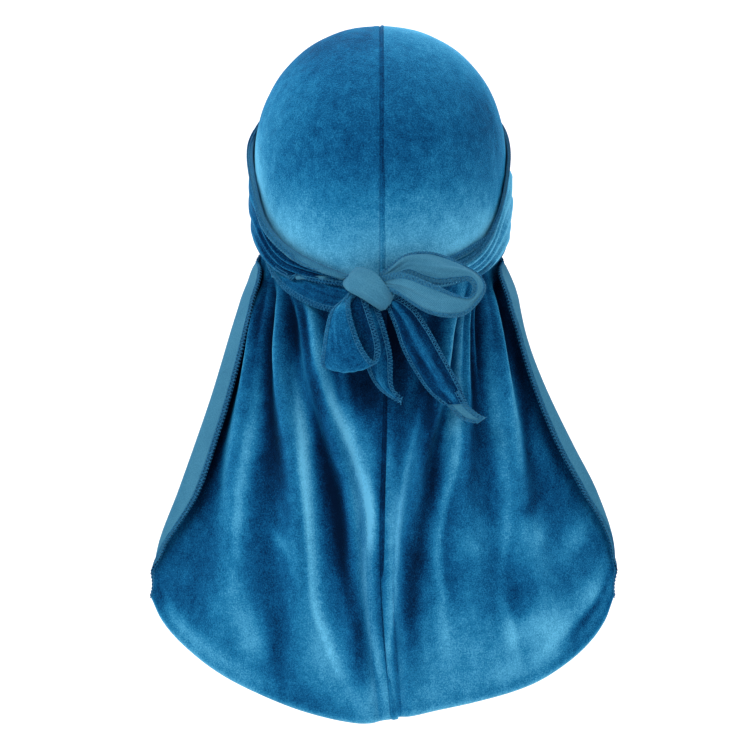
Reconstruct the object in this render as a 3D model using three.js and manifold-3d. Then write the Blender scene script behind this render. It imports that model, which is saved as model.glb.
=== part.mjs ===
// Durag in its worn form, seen as tied at the nape, in millimetres.
// +Z is up, the wearer faces +Y, and the knot and cape are at the back, on -Y.
// The origin is the inner top of the crown, where the cloth rests on the head.
import * as THREE from "three";
import Module from "manifold-3d";

const solidTools = await Module();
solidTools.setup();

// Cloth
const WALL = 1.0;
const SEAM_GAP = 0.3;
const LAYER_GAP = 0.75;

// Head form that the crown takes, measured to the outside of the cloth
const CROWN_HALF_WIDTH = 77.2;
const CROWN_BACK = 96;
const CROWN_FRONT = 96;
const DOME_HEIGHT = 82;
const DOME_ROUNDNESS = 2.1;
const PLAN_ROUNDNESS = 2.2;
const NAPE_DROP = 150;
const SIDE_TAPER = 0.08;
const NAPE_TAPER = 0.12;

// How finely the crown's surface is looked up, and joined pieces are merged
const RAY_LENGTH = 200;
const RAY_HALVINGS = 30;
const SLOPE_STEP = 0.5;
const MERGE_WITHIN = 0.01;

// Crown rows fan out from a line across the head, from the brow to the nape
const FAN_DROP = 118;
const BROW_ANGLE = 27;
const NAPE_ANGLE = 200;
const CROWN_ROWS = 24;
const CROWN_COLUMNS = 10;
const CROWN_EDGE = [
  { at: 27, spread: 66 },
  { at: 60, spread: 68 },
  { at: 90, spread: 69 },
  { at: 120, spread: 70 },
  { at: 150, spread: 71 },
  { at: 180, spread: 69.5 },
  { at: 200, spread: 64 },
];

// The seam allowance lies to the left and shows as a low strip along the seam
const STRIP_WIDTH = 3.2;
const STRIP_EDGE = 4.4;
const STRIP_RISE = 0.7;
const STRIP_FADE = 30;

// Cape: each level is a share of the drop from the nape to the hem. Half widths and the
// sway of the seam are shares of the widest half width, back and forward of the crown's back
const CAPE_LENGTH = 262;
const CAPE_HALF_WIDTH = 138;
const SETTLE_START = 0.05;
const SETTLE_END = 0.17;
const CAPE_ROWS = 20;
const CAPE_SPACING = 1.25;
const CAPE_COLUMNS = 16;
const CAPE_SECTIONS = [
  { at: 0.0, left: 0.5, right: 0.5, seam: 0.0072, back: 0.875, forward: 0.521, round: 0.93 },
  { at: 0.04, left: 0.551, right: 0.543, seam: 0.0072, back: 0.885, forward: 0.521, round: 0.92 },
  { at: 0.12, left: 0.559, right: 0.549, seam: 0.0109, back: 0.917, forward: 0.479, round: 0.86 },
  { at: 0.25, left: 0.605, right: 0.586, seam: 0.0167, back: 0.958, forward: 0.396, round: 0.78 },
  { at: 0.4, left: 0.677, right: 0.678, seam: 0.0087, back: 1, forward: 0.385, round: 0.74 },
  { at: 0.57, left: 0.769, right: 0.801, seam: 0, back: 1.031, forward: 0.396, round: 0.68 },
  { at: 0.7, left: 0.845, right: 0.907, seam: 0.0036, back: 1.052, forward: 0.417, round: 0.65 },
  { at: 0.85, left: 0.936, right: 0.996, seam: 0.0217, back: 1.073, forward: 0.438, round: 0.6 },
  { at: 1.0, left: 0.991, right: 1.015, seam: 0.0471, back: 1.083, forward: 0.438, round: 0.6 },
];

// Hem: how far each point of it stands above its lowest point, as a share of the rise
const HEM_RISE = 68;
const HEM_CURVE = [
  { at: 0.0, left: 0.044, right: 0.051 },
  { at: 0.16, left: 0.012, right: 0.109 },
  { at: 0.38, left: 0.104, right: 0.19 },
  { at: 0.6, left: 0.269, right: 0.294 },
  { at: 0.75, left: 0.431, right: 0.441 },
  { at: 0.88, left: 0.634, right: 0.629 },
  { at: 0.96, left: 0.824, right: 0.813 },
  { at: 1.0, left: 1, right: 1 },
];

// Folds of the cape: each keeps to one share of the cloth's width, counted from the
// seam, its place is a share of the half width at each level, and its height of the depth
const FOLD_DEPTH = 10;
const FOLD_LEVELS = [0.08, 0.24, 0.48, 0.72, 1.0];
const FOLD_SPREAD = 0.125;
const FOLDS = [
  { side: -1, cloth: 0.25, place: [0.52, 0.42, 0.14, 0.085, 0.06], height: [0.3, 0.9, 1, 0.7, 0.3] },
  { side: -1, cloth: 0.5, place: [0.725, 0.67, 0.463, 0.375, 0.36], height: [0.4, 1, 0.9, 0.4, 0.05] },
  { side: -1, cloth: 0.75, place: [0.89, 0.865, 0.83, 0.73, 0.72], height: [0.4, 0.9, 0.7, 0.25, 0.05] },
  { side: 1, cloth: 0.25, place: [0.5, 0.367, 0.147, 0.075, 0.055], height: [0.3, 0.9, 1, 0.7, 0.3] },
  { side: 1, cloth: 0.5, place: [0.62, 0.55, 0.445, 0.4, 0.38], height: [0.3, 0.7, 0.6, 0.2, 0.05] },
  { side: 1, cloth: 0.75, place: [0.81, 0.803, 0.739, 0.675, 0.66], height: [0.4, 1, 0.9, 0.4, 0.05] },
];
const FOLD_START = 0.03;
const FOLD_FULL = 0.14;

// Side edges of the cape, turned outward into lapels
const LAPEL_WIDTH = 15;
const LAPEL_RADIUS = 2.5;
const LAPEL_START = 0.03;
const LAPEL_FOLDED = 0.06;
const LAPEL_ENDING = 0.88;
const LAPEL_END = 0.97;
const ROLL_STEPS = 3;
const LAPEL_STEPS = 2;
const LAPEL_ROWS = [
  { at: 0.0, left: 0.05, right: 0.05, radius: 0.2 },
  { at: 0.03, left: 0.05, right: 0.05, radius: 0.2 },
  { at: 0.06, left: 0.15, right: 0.15, radius: 0.4 },
  { at: 0.075, left: 0.7, right: 0.7, radius: 0.64 },
  { at: 0.1, left: 0.93, right: 0.93, radius: 0.8 },
  { at: 0.17, left: 0.93, right: 0.77, radius: 0.88 },
  { at: 0.25, left: 0.93, right: 0.47, radius: 0.96 },
  { at: 0.38, left: 0.97, right: 0.55, radius: 1 },
  { at: 0.55, left: 1, right: 0.72, radius: 1 },
  { at: 0.69, left: 1, right: 0.64, radius: 0.96 },
  { at: 0.78, left: 0.67, right: 0.28, radius: 0.88 },
  { at: 0.84, left: 0.34, right: 0.11, radius: 0.72 },
  { at: 0.89, left: 0.16, right: 0.06, radius: 0.4 },
  { at: 0.95, left: 0.06, right: 0.04, radius: 0.14 },
  { at: 1.0, left: 0.03, right: 0.03, radius: 0.1 },
];

// Runs of the straps round the head: turn in degrees from the back, drop of the upper and
// lower edge as shares of the nape's, distance of the cloth's outside from the crown,
// height of the pleats, and how much further out the lower edge stands
const LAYER_EASE = 0.2;
const UNDER = LAYER_GAP + WALL;
const OVER = 2 * UNDER + LAYER_EASE;
const PLEAT_HEIGHT = 2;
const FLARE_REACH = 5;
const FLARE_BEND = 1.5;

// Beside the head the upper edge lies on the crown and the rest passes over the other
// strap: the turns it starts and ends at, and the shares of the width it rises between
const PRESS_START = 206;
const PRESS_FULL = 225;
const PRESS_EASING = 290;
const PRESS_END = 318;
const FLAT_SHARE = 0.15;
const LOOSE_SHARE = 0.5;
const STRAP_COLUMNS = 8;
const TURN_STEP = 9;
const RIGHT_STRAP = [
  { at: 12, up: 1.04, low: 1.14, off: UNDER, pleat: 0.25, flare: 0.6 },
  { at: 22, up: 1.013, low: 1.12, off: UNDER, pleat: 0.25, flare: 1.24 },
  { at: 34, up: 0.96, low: 1.07, off: UNDER, pleat: 0.2, flare: 1.52 },
  { at: 45, up: 0.933, low: 1.013, off: UNDER, pleat: 0.2, flare: 1.2 },
  { at: 57, up: 0.86, low: 0.93, off: UNDER, pleat: 0.15, flare: 0.48 },
  { at: 70, up: 0.773, low: 0.847, off: UNDER, pleat: 0, flare: 0 },
  { at: 90, up: 0.693, low: 0.8, off: UNDER, pleat: 0, flare: 0 },
  { at: 120, up: 0.613, low: 0.747, off: UNDER, pleat: 0, flare: 0 },
  { at: 142, up: 0.573, low: 0.707, off: UNDER, pleat: 0, flare: 0 },
  { at: 158, up: 0.547, low: 0.693, off: UNDER, pleat: 0, flare: 0 },
  { at: 172, up: 0.533, low: 0.693, off: OVER, pleat: 0.25, flare: 0 },
  { at: 190, up: 0.4, low: 0.68, off: OVER, pleat: 0.5, flare: 0 },
  { at: 206, up: 0.32, low: 0.667, off: OVER, pleat: 0.75, flare: 0 },
  { at: 225, up: 0.31, low: 0.693, off: OVER, pleat: 1, flare: 0 },
  { at: 250, up: 0.387, low: 0.793, off: OVER, pleat: 1, flare: 0 },
  { at: 270, up: 0.467, low: 0.847, off: OVER, pleat: 0.9, flare: 0 },
  { at: 284, up: 0.56, low: 0.867, off: OVER, pleat: 0.9, flare: 0 },
  { at: 294, up: 0.66, low: 0.893, off: OVER, pleat: 1, flare: 0.4 },
  { at: 307, up: 0.807, low: 0.937, off: OVER, pleat: 0.9, flare: 0.8 },
  { at: 318, up: 0.9, low: 0.987, off: OVER, pleat: 0.75, flare: 0.6 },
  { at: 330, up: 0.953, low: 1.027, off: OVER, pleat: 0.6, flare: 0.2 },
  { at: 345, up: 0.98, low: 1.047, off: OVER, pleat: 0.5, flare: 0.2 },
];
const LEFT_STRAP = [
  { at: 15, up: 0.973, low: 1.027, off: UNDER, pleat: 0.15, flare: 0.1 },
  { at: 30, up: 0.927, low: 0.987, off: UNDER, pleat: 0.15, flare: 0.1 },
  { at: 45, up: 0.867, low: 0.927, off: UNDER, pleat: 0.15, flare: 0.1 },
  { at: 57, up: 0.82, low: 0.88, off: UNDER, pleat: 0, flare: 0.1 },
  { at: 72, up: 0.76, low: 0.84, off: UNDER, pleat: 0, flare: 0 },
  { at: 90, up: 0.693, low: 0.813, off: UNDER, pleat: 0, flare: 0 },
  { at: 115, up: 0.6, low: 0.747, off: UNDER, pleat: 0, flare: 0 },
  { at: 138, up: 0.507, low: 0.653, off: UNDER, pleat: 0, flare: 0 },
  { at: 158, up: 0.4, low: 0.587, off: UNDER, pleat: 0, flare: 0 },
  { at: 172, up: 0.333, low: 0.533, off: UNDER, pleat: 0, flare: 0 },
  { at: 188, up: 0.293, low: 0.507, off: UNDER, pleat: 0, flare: 0 },
  { at: 202, up: 0.28, low: 0.513, off: OVER, pleat: 0.5, flare: 0 },
  { at: 225, up: 0.3, low: 0.653, off: OVER, pleat: 0.9, flare: 0 },
  { at: 250, up: 0.387, low: 0.78, off: OVER, pleat: 0.5, flare: 0 },
  { at: 270, up: 0.46, low: 0.847, off: OVER, pleat: 0.4, flare: 0 },
  { at: 284, up: 0.547, low: 0.867, off: OVER, pleat: 0.6, flare: 0 },
  { at: 294, up: 0.627, low: 0.893, off: OVER, pleat: 0.8, flare: 0.1 },
  { at: 306, up: 0.753, low: 0.933, off: OVER, pleat: 1, flare: 0.4 },
  { at: 318, up: 0.847, low: 0.98, off: OVER, pleat: 0.9, flare: 0.5 },
  { at: 328, up: 0.903, low: 1.003, off: OVER, pleat: 0.8, flare: 0.4 },
  { at: 337, up: 0.943, low: 1.02, off: OVER, pleat: 0.65, flare: 0.3 },
  { at: 346, up: 0.977, low: 1.03, off: OVER, pleat: 0.5, flare: 0.2 },
];

// Tied ends of the straps: the two edges of the band at each station, measured from the
// knot in shares of the bow's length
const KNOT_CENTRE = [-4, -100, -154];
const BOW_LENGTH = 60;
const LEFT_TIE = [
  { a: [-0.217, 0.117, 0.1], b: [-0.217, 0.133, -0.033] },
  { a: [-0.083, 0.033, 0.067], b: [-0.083, 0.033, -0.083] },
];
const RIGHT_TIE = [
  { a: [0.3, 0.133, 0.1], b: [0.3, 0.133, -0.067] },
  { a: [0.15, 0.05, 0.067], b: [0.15, 0.033, -0.183] },
  { a: [0.2, -0.05, -0.017], b: [0.2, -0.067, -0.2] },
];
const KNOT_BAND = [
  { a: [-0.167, 0.1, 0.167], b: [-0.292, 0.1, 0.05], bulge: 0 },
  { a: [-0.175, -0.033, 0.183], b: [-0.292, -0.033, 0.008], bulge: 0.008 },
  { a: [-0.092, -0.15, 0.183], b: [-0.242, -0.142, -0.042], bulge: 0.025 },
  { a: [0.025, -0.208, 0.133], b: [-0.117, -0.192, -0.108], bulge: 0.033 },
  { a: [0.125, -0.2, 0.017], b: [0, -0.175, -0.183], bulge: 0.033 },
  { a: [0.192, -0.1, -0.1], b: [0.075, -0.083, -0.233], bulge: 0.017 },
  { a: [0.183, 0.033, -0.117], b: [0.083, 0.033, -0.217], bulge: 0 },
];
const BOW_LOOP = [
  { a: [0.067, -0.067, 0.133], b: [0.083, -0.1, 0.05], bulge: 0 },
  { a: [0.2, 0.017, 0.242], b: [0.233, -0.067, 0.083], bulge: 0.017 },
  { a: [0.333, 0.033, 0.313], b: [0.35, -0.117, 0.117], bulge: 0.033 },
  { a: [0.525, 0.05, 0.333], b: [0.467, -0.15, 0.067], bulge: 0.05 },
  { a: [0.708, 0.05, 0.287], b: [0.617, -0.167, 0.033], bulge: 0.05 },
  { a: [0.883, 0.033, 0.2], b: [0.783, -0.15, 0.05], bulge: 0.05 },
  { a: [1.033, -0.017, 0.1], b: [0.908, -0.133, 0.058], bulge: 0.033 },
  { a: [1.083, -0.1, -0.017], b: [0.95, -0.15, -0.017], bulge: 0.033 },
  { a: [1.017, -0.183, -0.142], b: [0.9, -0.208, -0.1], bulge: 0.033 },
  { a: [0.875, -0.25, -0.267], b: [0.767, -0.275, -0.058], bulge: 0.05 },
  { a: [0.708, -0.267, -0.288], b: [0.633, -0.317, 0.008], bulge: 0.05 },
  { a: [0.525, -0.25, -0.25], b: [0.492, -0.317, 0.067], bulge: 0.05 },
  { a: [0.383, -0.217, -0.175], b: [0.333, -0.267, 0.128], bulge: 0.033 },
  { a: [0.233, -0.183, -0.075], b: [0.183, -0.233, 0.133], bulge: 0.017 },
  { a: [0.1, -0.15, -0.025], b: [0.042, -0.167, 0.092], bulge: 0 },
];
const LONG_TAIL = [
  { a: [0.183, -0.033, -0.1], b: [0.1, -0.017, -0.167], bulge: 0 },
  { a: [0.255, -0.067, -0.1], b: [0.142, -0.05, -0.242], bulge: 0.017 },
  { a: [0.4, -0.083, -0.208], b: [0.208, -0.067, -0.408], bulge: 0.042 },
  { a: [0.533, -0.1, -0.4], b: [0.275, -0.083, -0.6], bulge: 0.067 },
  { a: [0.677, -0.117, -0.66], b: [0.367, -0.1, -0.775], bulge: 0.083 },
  { a: [0.822, -0.117, -0.928], b: [0.523, -0.1, -1.007], bulge: 0.083 },
  { a: [0.908, -0.117, -1.125], b: [0.678, -0.117, -1.142], bulge: 0.033 },
];
const TAIL_TIP = [
  { a: [0.825, -0.143, -1], b: [0.65, -0.143, -1.05], bulge: 0.02 },
  { a: [0.9, -0.123, -1.133], b: [0.717, -0.12, -1.15], bulge: 0.013 },
  { a: [1.017, -0.087, -1.233], b: [0.85, -0.083, -1.283], bulge: 0.008 },
  { a: [1.092, -0.083, -1.267], b: [1.008, -0.083, -1.325], bulge: 0 },
];
const HANGING_LOOP = [
  { a: [-0.133, -0.05, -0.017], b: [-0.208, -0.017, -0.033], bulge: 0 },
  { a: [-0.217, -0.142, -0.133], b: [-0.317, -0.125, -0.142], bulge: 0.008 },
  { a: [-0.217, -0.267, -0.233], b: [-0.417, -0.208, -0.242], bulge: 0.033 },
  { a: [-0.167, -0.317, -0.417], b: [-0.467, -0.233, -0.433], bulge: 0.05 },
  { a: [-0.1, -0.35, -0.575], b: [-0.492, -0.233, -0.6], bulge: 0.058 },
  { a: [-0.025, -0.342, -0.683], b: [-0.508, -0.217, -0.717], bulge: 0.067 },
  { a: [0.033, -0.3, -0.717], b: [-0.483, -0.175, -0.767], bulge: 0.075 },
  { a: [0.067, -0.242, -0.617], b: [-0.45, -0.133, -0.683], bulge: 0.033 },
  { a: [0.043, -0.183, -0.467], b: [-0.417, -0.117, -0.483], bulge: 0.017 },
  { a: [-0.023, -0.125, -0.258], b: [-0.35, -0.092, -0.267], bulge: 0.008 },
  { a: [-0.083, -0.067, -0.092], b: [-0.217, -0.05, -0.1], bulge: 0 },
];
const SHORT_TAIL = [
  { a: [0, -0.033, -0.067], b: [-0.1, -0.017, -0.067], bulge: 0 },
  { a: [0.05, -0.042, -0.2], b: [-0.092, -0.033, -0.233], bulge: 0.008 },
  { a: [0.117, -0.05, -0.4], b: [-0.1, -0.033, -0.433], bulge: 0.025 },
  { a: [0.178, -0.05, -0.667], b: [-0.092, -0.033, -0.683], bulge: 0.033 },
  { a: [0.187, -0.05, -0.95], b: [-0.033, -0.033, -0.867], bulge: 0.033 },
  { a: [0.233, -0.05, -1.033], b: [0.075, -0.042, -1.017], bulge: 0.017 },
  { a: [0.283, -0.05, -1.075], b: [0.267, -0.05, -1.142], bulge: 0 },
];
const BAND_COLUMNS = 6;
const KNOT_SIDES = 16;
const KNOT_CORE = { centre: [-0.067, 0.008, -0.025], half: [0.192, 0.083, 0.108] };

// Colours of the cloth
const VELVET_COLOUR = 0x1a6499;
const STRAP_COLOUR = 0x246fa6;

// Value of a column of a table at a place, by a smooth curve through the rows
function read(table, column, place) {
  const last = table.length - 1;
  const at = Math.min(Math.max(place, table[0].at), table[last].at);
  let i = 0;
  while (i < last - 1 && at > table[i + 1].at) {
    i += 1;
  }
  const slope = (k) => {
    const before = table[Math.max(k - 1, 0)];
    const after = table[Math.min(k + 1, last)];
    return (after[column] - before[column]) / (after.at - before.at);
  };
  const span = table[i + 1].at - table[i].at;
  const t = (at - table[i].at) / span;
  const rise = table[i + 1][column] - table[i][column];
  const inward = slope(i) * span - rise;
  const outward = rise - slope(i + 1) * span;
  return table[i][column] + t * rise + t * (1 - t) * ((1 - t) * inward + t * outward);
}

// Rows of a plain list of values, as a table with evenly named places
function tableOf(places, values) {
  return places.map((at, i) => ({ at, value: values[i] }));
}

function smooth(from, to, value) {
  const t = Math.min(Math.max((value - from) / (to - from), 0), 1);
  return t * t * (3 - 2 * t);
}

function mix(from, to, share) {
  return from + (to - from) * share;
}

function radians(degrees) {
  return (degrees * Math.PI) / 180;
}

// Below zero inside the crown's outer surface, above zero outside
function outsideCrown(x, y, z) {
  const drop = WALL - z;
  const below = Math.min(Math.max((drop - DOME_HEIGHT) / (NAPE_DROP - DOME_HEIGHT), 0), 1);
  const width = CROWN_HALF_WIDTH * (1 - SIDE_TAPER * below * below);
  const depth = y < 0 ? CROWN_BACK * (1 - NAPE_TAPER * below * below) : CROWN_FRONT;
  const plan =
    (Math.abs(x) / width) ** PLAN_ROUNDNESS + (Math.abs(y) / depth) ** PLAN_ROUNDNESS;
  const rise = Math.max((DOME_HEIGHT - drop) / DOME_HEIGHT, 0);
  return plan ** (DOME_ROUNDNESS / PLAN_ROUNDNESS) + rise ** DOME_ROUNDNESS - 1;
}

// Point where a ray leaves the crown's outer surface
function crownHit(start, direction) {
  let near = 0;
  let far = RAY_LENGTH;
  for (let i = 0; i < RAY_HALVINGS; i += 1) {
    const middle = (near + far) / 2;
    const p = start.clone().addScaledVector(direction, middle);
    if (outsideCrown(p.x, p.y, p.z) < 0) {
      near = middle;
    } else {
      far = middle;
    }
  }
  return start.clone().addScaledVector(direction, near);
}

// Outward direction of the crown's surface near a point
function crownNormal(p) {
  const step = SLOPE_STEP;
  const n = new THREE.Vector3(
    outsideCrown(p.x + step, p.y, p.z) - outsideCrown(p.x - step, p.y, p.z),
    outsideCrown(p.x, p.y + step, p.z) - outsideCrown(p.x, p.y - step, p.z),
    outsideCrown(p.x, p.y, p.z + step) - outsideCrown(p.x, p.y, p.z - step),
  );
  return n.normalize();
}

// Closed solid of one wall from rows of points on its outer surface
function clothSolid(rows, faceSide) {
  const points = rows.flat();
  const starts = [];
  let total = 0;
  for (const row of rows) {
    starts.push(total);
    total += row.length;
  }
  const faces = [];
  for (let r = 0; r + 1 < rows.length; r += 1) {
    const upper = rows[r].length - 1;
    const lower = rows[r + 1].length - 1;
    let i = 0;
    let j = 0;
    while (i < upper || j < lower) {
      const a = starts[r] + i;
      const b = starts[r + 1] + j;
      const takeUpper = j === lower || (i < upper && (i + 0.5) / upper < (j + 0.5) / lower);
      if (takeUpper) {
        faces.push([a, b, a + 1]);
        i += 1;
      } else {
        faces.push([a, b, b + 1]);
        j += 1;
      }
    }
  }
  if (faceSide < 0) {
    faces.forEach((face) => face.reverse());
  }
  const normals = points.map(() => new THREE.Vector3());
  for (const [a, b, c] of faces) {
    const ab = points[b].clone().sub(points[a]);
    const ac = points[c].clone().sub(points[a]);
    const normal = ab.cross(ac);
    for (const k of [a, b, c]) {
      normals[k].add(normal);
    }
  }
  const inner = points.map((p, k) => p.clone().addScaledVector(normals[k].normalize(), -WALL));
  const edges = new Map();
  for (const [a, b, c] of faces) {
    for (const [from, to] of [[a, b], [b, c], [c, a]]) {
      edges.set(from + "," + to, [from, to]);
    }
  }
  const triangles = [];
  for (const [a, b, c] of faces) {
    triangles.push([a, b, c], [c + total, b + total, a + total]);
  }
  for (const [from, to] of edges.values()) {
    if (!edges.has(to + "," + from)) {
      triangles.push([to, from, from + total], [to, from + total, to + total]);
    }
  }
  return { points: points.concat(inner), triangles };
}

function geometryOf(solid) {
  const geometry = new THREE.BufferGeometry();
  const positions = solid.points.flatMap((p) => [p.x, p.y, p.z]);
  geometry.setAttribute("position", new THREE.Float32BufferAttribute(positions, 3));
  geometry.setIndex(solid.triangles.flat());
  return geometry;
}

// One piece of cloth made of overlapping runs, joined into a single solid
function joined(solids) {
  const parts = solids.map((solid) => {
    const mesh = new solidTools.Mesh({
      numProp: 3,
      vertProperties: new Float32Array(solid.points.flatMap((p) => [p.x, p.y, p.z])),
      triVerts: new Uint32Array(solid.triangles.flat()),
    });
    return new solidTools.Manifold(mesh);
  });
  const whole = solidTools.Manifold.union(parts).simplify(MERGE_WITHIN).getMesh();
  const geometry = new THREE.BufferGeometry();
  geometry.setAttribute("position", new THREE.Float32BufferAttribute(whole.vertProperties, 3));
  geometry.setIndex(Array.from(whole.triVerts));
  return geometry;
}

function clothNode(name, geometry, colour) {
  geometry.computeVertexNormals();
  const material = new THREE.MeshStandardMaterial({
    color: colour,
    roughness: 0.8,
    metalness: 0,
    flatShading: true,
  });
  const mesh = new THREE.Mesh(geometry, material);
  mesh.name = name;
  return mesh;
}

// Point of the crown panel: fan angle from the brow, spread angle from the seam
function crownPoint(side, fan, spread) {
  const along = new THREE.Vector3(0, Math.cos(radians(fan)), Math.sin(radians(fan)));
  const direction = along.multiplyScalar(Math.cos(radians(spread)));
  direction.x = side * Math.sin(radians(spread));
  return crownHit(new THREE.Vector3(0, 0, -FAN_DROP), direction);
}

// Rise of the seam allowance at a distance from the seam, on the left panel only
function stripRise(side, distance) {
  return side < 0 ? STRIP_RISE * (1 - smooth(STRIP_WIDTH, STRIP_EDGE, distance)) : 0;
}

function crownRow(side, fan) {
  const row = [];
  const reach = crownPoint(side, fan, 0).distanceTo(new THREE.Vector3(0, 0, -FAN_DROP));
  const spreads = [0, STRIP_WIDTH, STRIP_EDGE].map(
    (distance) => (Math.atan2(distance, reach) * 180) / Math.PI,
  );
  const edge = read(CROWN_EDGE, "spread", fan);
  for (let i = 1; i <= CROWN_COLUMNS; i += 1) {
    spreads.push(mix(spreads[2], edge, i / CROWN_COLUMNS));
  }
  const shown = smooth(BROW_ANGLE, BROW_ANGLE + STRIP_FADE, fan);
  for (const spread of spreads) {
    const p = crownPoint(side, fan, spread);
    p.addScaledVector(crownNormal(p), shown * stripRise(side, Math.abs(p.x)));
    p.x = side * Math.max(side * p.x, SEAM_GAP / 2);
    row.push(p);
  }
  return row;
}

// Height of the folds over the cape's smooth surface
function foldHeight(side, cloth, down) {
  let height = 0;
  for (const fold of FOLDS.filter((f) => f.side === side)) {
    const top = read(tableOf(FOLD_LEVELS, fold.height), "value", down);
    const away = Math.min(Math.abs(cloth - fold.cloth) / FOLD_SPREAD, 1);
    height += FOLD_DEPTH * top * 0.5 * (1 + Math.cos(Math.PI * away));
  }
  return height * smooth(FOLD_START, FOLD_FULL, down);
}

// Where a share of the cloth's width lies across the cape, so that it follows the folds
function placeAcross(side, cloth, down) {
  const knots = [{ at: 0, value: 0 }];
  for (const fold of FOLDS.filter((f) => f.side === side)) {
    const place = read(tableOf(FOLD_LEVELS, fold.place), "value", down);
    knots.push({ at: fold.cloth, value: place });
  }
  knots.push({ at: 1, value: 1 });
  return read(knots, "value", cloth);
}

function capeWidth(side, down) {
  return CAPE_HALF_WIDTH * read(CAPE_SECTIONS, side < 0 ? "left" : "right", down);
}

function seamSway(down) {
  return CAPE_HALF_WIDTH * read(CAPE_SECTIONS, "seam", down);
}

// Point of the cape's main face, and its two directions in plan
function capePoint(side, across, down) {
  const width = capeWidth(side, down);
  const seam = seamSway(down);
  const round = read(CAPE_SECTIONS, "round", down);
  const forward = CROWN_BACK * read(CAPE_SECTIONS, "forward", down);
  const back = CROWN_BACK * read(CAPE_SECTIONS, "back", down);
  const bend = (share) => 1 - Math.sqrt(1 - (round * share) ** 2);
  const x = seam * (1 - across * across) + side * across * width;
  const y = -back + (forward * bend(across)) / bend(1);
  const slope = (forward * round * round * across) / (width * bend(1) * (1 - bend(across)));
  const outward = new THREE.Vector3(side, slope, 0).normalize();
  const proud = new THREE.Vector3(side * slope, -1, 0).normalize();
  const nape = crownPoint(side, NAPE_ANGLE, read(CROWN_EDGE, "spread", NAPE_ANGLE) * across);
  const hemRise = HEM_RISE * read(HEM_CURVE, side < 0 ? "left" : "right", across);
  const bottom = crownPoint(side, NAPE_ANGLE, 0).z - CAPE_LENGTH + hemRise;
  const place = new THREE.Vector3(x, y, mix(nape.z, bottom, down));
  const settled = smooth(SETTLE_START, SETTLE_END, down);
  place.x = mix(nape.x, place.x, smooth(0, SETTLE_END, down));
  place.y = mix(nape.y, place.y, settled);
  return { place, outward, proud };
}

function capeRow(side, down) {
  const width = capeWidth(side, down);
  const strip = STRIP_EDGE / width;
  const columns = [
    { across: 0, cloth: 0 },
    { across: STRIP_WIDTH / width, cloth: 0 },
    { across: strip, cloth: 0 },
  ];
  for (let i = 1; i <= CAPE_COLUMNS; i += 1) {
    const cloth = i / CAPE_COLUMNS;
    columns.push({ across: mix(strip, 1, placeAcross(side, cloth, down)), cloth });
  }
  const row = columns.map(({ across, cloth }) => {
    const { place, proud } = capePoint(side, across, down);
    const rise = foldHeight(side, cloth, down) + stripRise(side, across * width);
    return place.addScaledVector(proud, rise);
  });
  const edge = capePoint(side, 1, down);
  const radius = LAPEL_RADIUS * read(LAPEL_ROWS, "radius", down);
  const lapel = LAPEL_WIDTH * read(LAPEL_ROWS, side < 0 ? "left" : "right", down);
  const ended = smooth(LAPEL_ENDING, LAPEL_END, down);
  const folded = smooth(LAPEL_START, LAPEL_FOLDED, down) - ended;
  const rolled = Math.PI * Math.max(folded, 0.01);
  const bend = rolled / (Math.PI * radius);
  for (let i = 1; i <= ROLL_STEPS; i += 1) {
    const turn = (rolled * i) / ROLL_STEPS;
    const p = edge.place.clone().addScaledVector(edge.outward, Math.sin(turn) / bend);
    row.push(p.addScaledVector(edge.proud, (1 - Math.cos(turn)) / bend));
  }
  const last = row[row.length - 1];
  for (let i = 1; i <= LAPEL_STEPS; i += 1) {
    const reach = (lapel * i) / LAPEL_STEPS;
    const p = last.clone().addScaledVector(edge.outward, reach * Math.cos(rolled));
    row.push(p.addScaledVector(edge.proud, reach * Math.sin(rolled)));
  }
  return row;
}

// The seam line sways a little, and both panels follow it with a gap between them
function shiftToSeam(row, side, down) {
  row[0].x = seamSway(down) * smooth(0, SETTLE_END, down) + (side * SEAM_GAP) / 2;
}

function makePanel(side) {
  const rows = [];
  for (let i = 0; i <= CROWN_ROWS; i += 1) {
    rows.push(crownRow(side, mix(BROW_ANGLE, NAPE_ANGLE, i / CROWN_ROWS)));
  }
  for (let i = 1; i <= CAPE_ROWS; i += 1) {
    const down = (i / CAPE_ROWS) ** CAPE_SPACING;
    const row = capeRow(side, down);
    shiftToSeam(row, side, down);
    rows.push(row);
  }
  return clothSolid(rows, side);
}

// Point given from the knot in shares of the bow's length
function fromKnot(offset) {
  const p = new THREE.Vector3(...offset).multiplyScalar(BOW_LENGTH);
  return p.add(new THREE.Vector3(...KNOT_CENTRE));
}

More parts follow.
